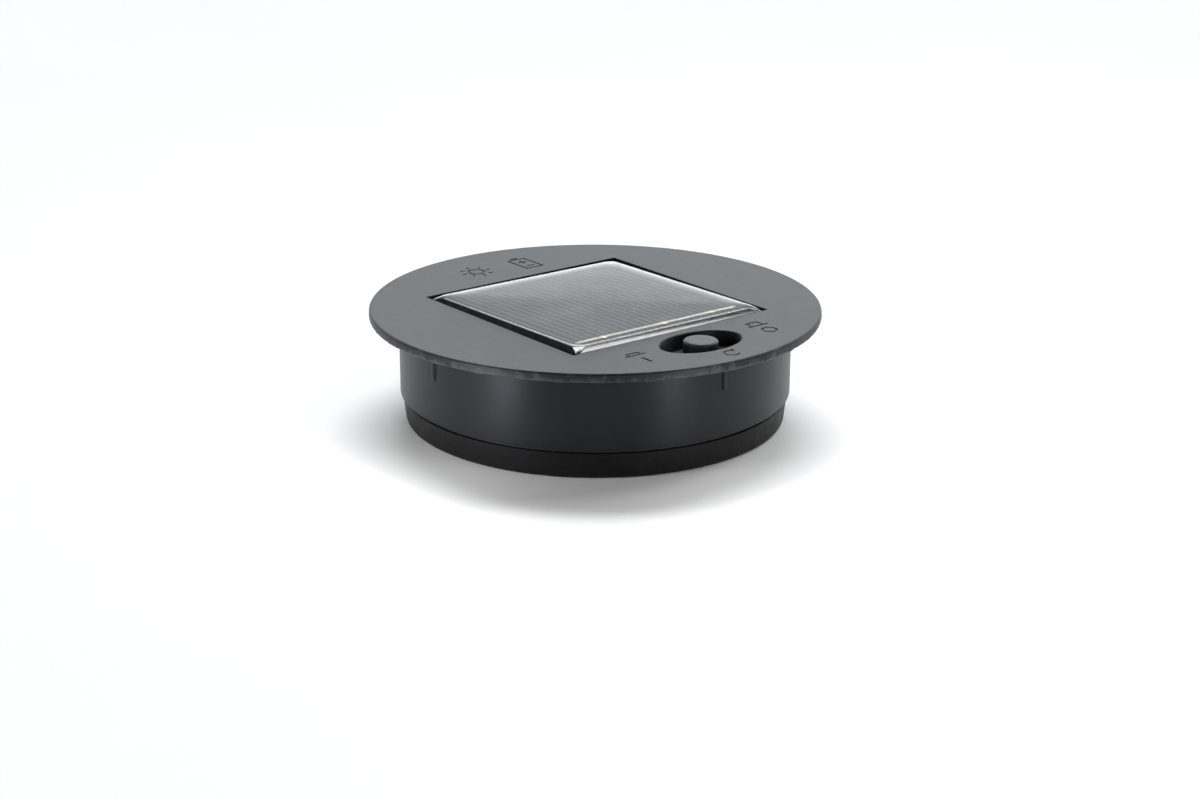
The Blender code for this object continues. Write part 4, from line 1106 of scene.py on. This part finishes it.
def make_battery():
    left, right = battery_low.x, battery_high.x
    z = (battery_low.z + battery_high.z) / 2
    radius = (battery_high.z - battery_low.z) / 2
    stations = [(left, 3.9), (left, 4.6), (left + 0.25, 5.05), (left + 0.6, radius), (right - 1.9, radius)]
    stations += [(right - 1.4, 5.05), (right - 1.1, 4.7), (right - 1.1, 2.4)]
    stations += [(right - 0.95, 1.9), (right - 0.15, 1.9), (right, 1.7)]
    rings = [[(x, BAY_Y + py, z + pz) for py, pz, _ in ellipse(r, r, 0, SMALL)] for x, r in stations]
    battery = add_object("battery_cell_fine", loft(rings), 40)
    paint(battery, battery_wrap(), metal("cell_can", (0.6, 0.6, 0.6), (0.8, 0.8, 0.79), 0.25))
    paint_faces(battery, lambda c, n: 0 if left + 0.3 < c.x < right - 1.3 else 1)
    even_shading(battery, 40)
    fit(battery, "housing", "battery_wrap", "battery_cell")


def make_spring():
    """The switch's spring: a copy of the CAD node's shape."""
    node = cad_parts["switch_spring"]
    spring = bpy.data.objects.new("switch_spring_fine", node.data.copy())
    bpy.context.scene.collection.objects.link(spring)
    paint(spring, metal("switch_spring_steel", (0.5, 0.5, 0.5), (0.72, 0.72, 0.71), 0.28))
    fit(spring, "housing", "spring_steel", "switch_spring")
    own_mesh(spring)


def finish_cad_nodes():
    """Materials for the CAD nodes that keep their own shape."""
    steel = metal("spring_steel", (0.5, 0.5, 0.5), (0.72, 0.72, 0.71), 0.28)
    nickel = metal("nickel", (0.6, 0.58, 0.53), (0.78, 0.76, 0.7), 0.22)
    green = laminate("green_board", (0.012, 0.075, 0.03), (0.03, 0.13, 0.05))
    black = moulded("black_board", (0.02, 0.021, 0.024), (0.032, 0.033, 0.037), 0.45, 2.0)
    chip = moulded("chip_plastic", (0.012, 0.012, 0.012), (0.022, 0.022, 0.022), 0.45)
    finishes = {
        "seal_ring": moulded("silicone", (0.006, 0.006, 0.006), (0.01, 0.01, 0.01), 0.55),
        "panel_tape": moulded("foam_tape", (0.62, 0.62, 0.6), (0.75, 0.75, 0.72), 0.9, 0.6, 0.05),
        "solar_board": black,
        "solar_cell": silicon(),
        "switch_body": chip,
        "switch_plunger": moulded("white_plastic", (0.68, 0.68, 0.66), (0.78, 0.78, 0.76), 0.35),
        "contact_spring": steel,
        "contact_plate": nickel,
        "circuit_board": green,
        "led_board": green,
        "driver_chip": chip,
        "inductor": chip,
        "capacitor": metal("capacitor_can", (0.6, 0.6, 0.61), (0.75, 0.75, 0.76), 0.25),
        "board_screw_1": steel,
        "board_screw_2": steel,
    }
    red = moulded("red_wire", (0.42, 0.015, 0.012), (0.55, 0.025, 0.02), 0.4)
    dark = moulded("black_wire", (0.01, 0.01, 0.01), (0.02, 0.02, 0.02), 0.4)
    for use in ("panel", "led", "battery"):
        finishes[f"{use}_wire_red"] = red
        finishes[f"{use}_wire_black"] = dark
    for i in range(1, 7):
        finishes[f"switch_pin_{i}"] = nickel
    for node, material in finishes.items():
        paint(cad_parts[node], material)


# ---------------------------------------------------------------- floor, light and camera


def toward(azimuth, elevation):
    """The unit vector from the object towards a place, azimuth 0 being the -Y side."""
    a, e = math.radians(azimuth), math.radians(elevation)
    return Vector((math.sin(a) * math.cos(e), -math.cos(a) * math.cos(e), math.sin(e)))


def make_camera():
    camera = bpy.data.objects.new("camera", bpy.data.cameras.new("camera"))
    camera.data.lens = LENS
    camera.data.sensor_width = 36
    camera.data.clip_start = 0.01
    back = toward(CAMERA_AZIMUTH, CAMERA_ELEVATION)
    camera.location = (TARGET + back * CAMERA_DISTANCE) * MM
    look = back.to_track_quat("Z", "Y").to_matrix().to_4x4()
    camera.rotation_euler = (look @ Matrix.Rotation(math.radians(CAMERA_ROLL), 4, "Z")).to_euler()
    bpy.context.scene.collection.objects.link(camera)
    bpy.context.scene.camera = camera


def make_floor():
    bm = bmesh.new()
    bmesh.ops.create_grid(bm, x_segments=4, y_segments=4, size=6000)
    floor = add_object("floor", bm)
    s = Shader("floor_white")
    cloud = s.noise(60.0, 2)
    s.colour(s.mix(cloud, (0.94, 0.94, 0.94), (0.96, 0.96, 0.96)))
    s.rough(s.remap(cloud, 0.3, 0.7, 0.7, 0.8))
    paint(floor, s.material)


def softbox(name, place, width, height, radiance):
    """An area light at a place in millimetres that faces the object, unseen by the camera."""
    light = bpy.data.objects.new(name, bpy.data.lights.new(name, "AREA"))
    light.data.shape = "RECTANGLE"
    light.data.size = width * MM
    light.data.size_y = height * MM
    light.data.energy = radiance * math.pi * light.data.size * light.data.size_y
    light.location = place * MM
    facing = Vector((place.x, place.y, 0)) if place.z < height else place
    light.rotation_euler = facing.to_track_quat("Z", "Y").to_euler()
    light.visible_camera = False
    bpy.context.scene.collection.objects.link(light)
    return light


def make_lights():
    """Two upright cards that streak the skirt, and a box that catches the resin's near edge."""
    for name, (beside, width, radiance) in CARDS.items():
        place = toward(CAMERA_AZIMUTH + beside, 0) * CARD_DISTANCE + Vector((0, 0, CARD_HEIGHT / 2 + 0.5))
        softbox(name, place, width, CARD_HEIGHT, radiance)
    azimuth, elevation, width, height, radiance = EDGE_BOX
    place = toward(azimuth, elevation) * EDGE_BOX_DISTANCE + Vector((0, 0, LID_TOP))
    softbox("edge_box", place, width, height, radiance)


class Sky:
    """Node arithmetic on the direction of the sky, in degrees."""

    def __init__(self, tree):
        self.tree = tree
        place = tree.nodes.new("ShaderNodeTexCoord")
        split = tree.nodes.new("ShaderNodeSeparateXYZ")
        tree.links.new(place.outputs["Generated"], split.inputs["Vector"])
        x, y, z = split.outputs
        degrees = 180 / math.pi
        azimuth = self.maths("MULTIPLY", self.maths("ARCTAN2", x, self.maths("MULTIPLY", y, -1.0)), degrees)
        self.turn = self.maths("FLOORED_MODULO", self.maths("SUBTRACT", azimuth, CAMERA_AZIMUTH), 360.0)
        self.elevation = self.maths("MULTIPLY", self.maths("ARCSINE", z), degrees)

    def maths(self, operation, a, b=None):
        node = self.tree.nodes.new("ShaderNodeMath")
        node.operation = operation
        for socket, value in zip(node.inputs, (a, b)):
            if isinstance(value, (int, float)):
                socket.default_value = value
            elif value is not None:
                self.tree.links.new(value, socket)
        return node.outputs["Value"]

    def step(self, value, low, high, start, end):
        node = self.tree.nodes.new("ShaderNodeMapRange")
        node.interpolation_type = "SMOOTHSTEP"
        for name, number in (("From Min", low), ("From Max", high), ("To Min", start), ("To Max", end)):
            node.inputs[name].default_value = number
        self.tree.links.new(value, node.inputs["Value"])
        return node.outputs["Result"]

    def band(self, low, high, strength, right, left):
        s = SKY_SOFTNESS
        rise = self.step(self.elevation, low - s, low + s, 0, strength)
        ring = self.maths("MULTIPLY", rise, self.step(self.elevation, high - s, high + s, 1, 0))
        e = BAND_END_SOFTNESS
        ring = self.maths("MULTIPLY", ring, self.step(self.turn, right - e, right + e, 0, 1))
        return self.maths("MULTIPLY", ring, self.step(self.turn, 360 - left - e, 360 - left + e, 1, 0))


def make_world():
    """White to the camera; the light itself comes from soft bands of sky behind the object."""
    world = bpy.data.worlds.new("studio")
    bpy.context.scene.world = world
    world.use_nodes = True
    tree = world.node_tree
    sky = Sky(tree)
    light = SKY_FILL
    for band in SKY_BANDS:
        light = sky.maths("ADD", sky.band(*band), light)
    seen = tree.nodes.new("ShaderNodeLightPath")
    plain = tree.nodes.new("ShaderNodeMix")
    tree.links.new(seen.outputs["Is Camera Ray"], plain.inputs["Factor"])
    tree.links.new(light, plain.inputs["A"])
    plain.inputs["B"].default_value = 1.0
    background = tree.nodes["Background"]
    background.inputs["Color"].default_value = (0.97, 0.99, 1.0, 1)
    tree.links.new(plain.outputs["Result"], background.inputs["Strength"])


make_camera()
make_world()
make_lights()
make_floor()
make_housing()
make_dome()
make_fingers()
make_ribbon()
make_button()
make_cover()
make_door()
make_screws()
make_lens()
make_reflector()
make_bulb()
make_battery()
make_spring()
finish_cad_nodes()
bpy.context.scene.view_settings.view_transform = "Standard"
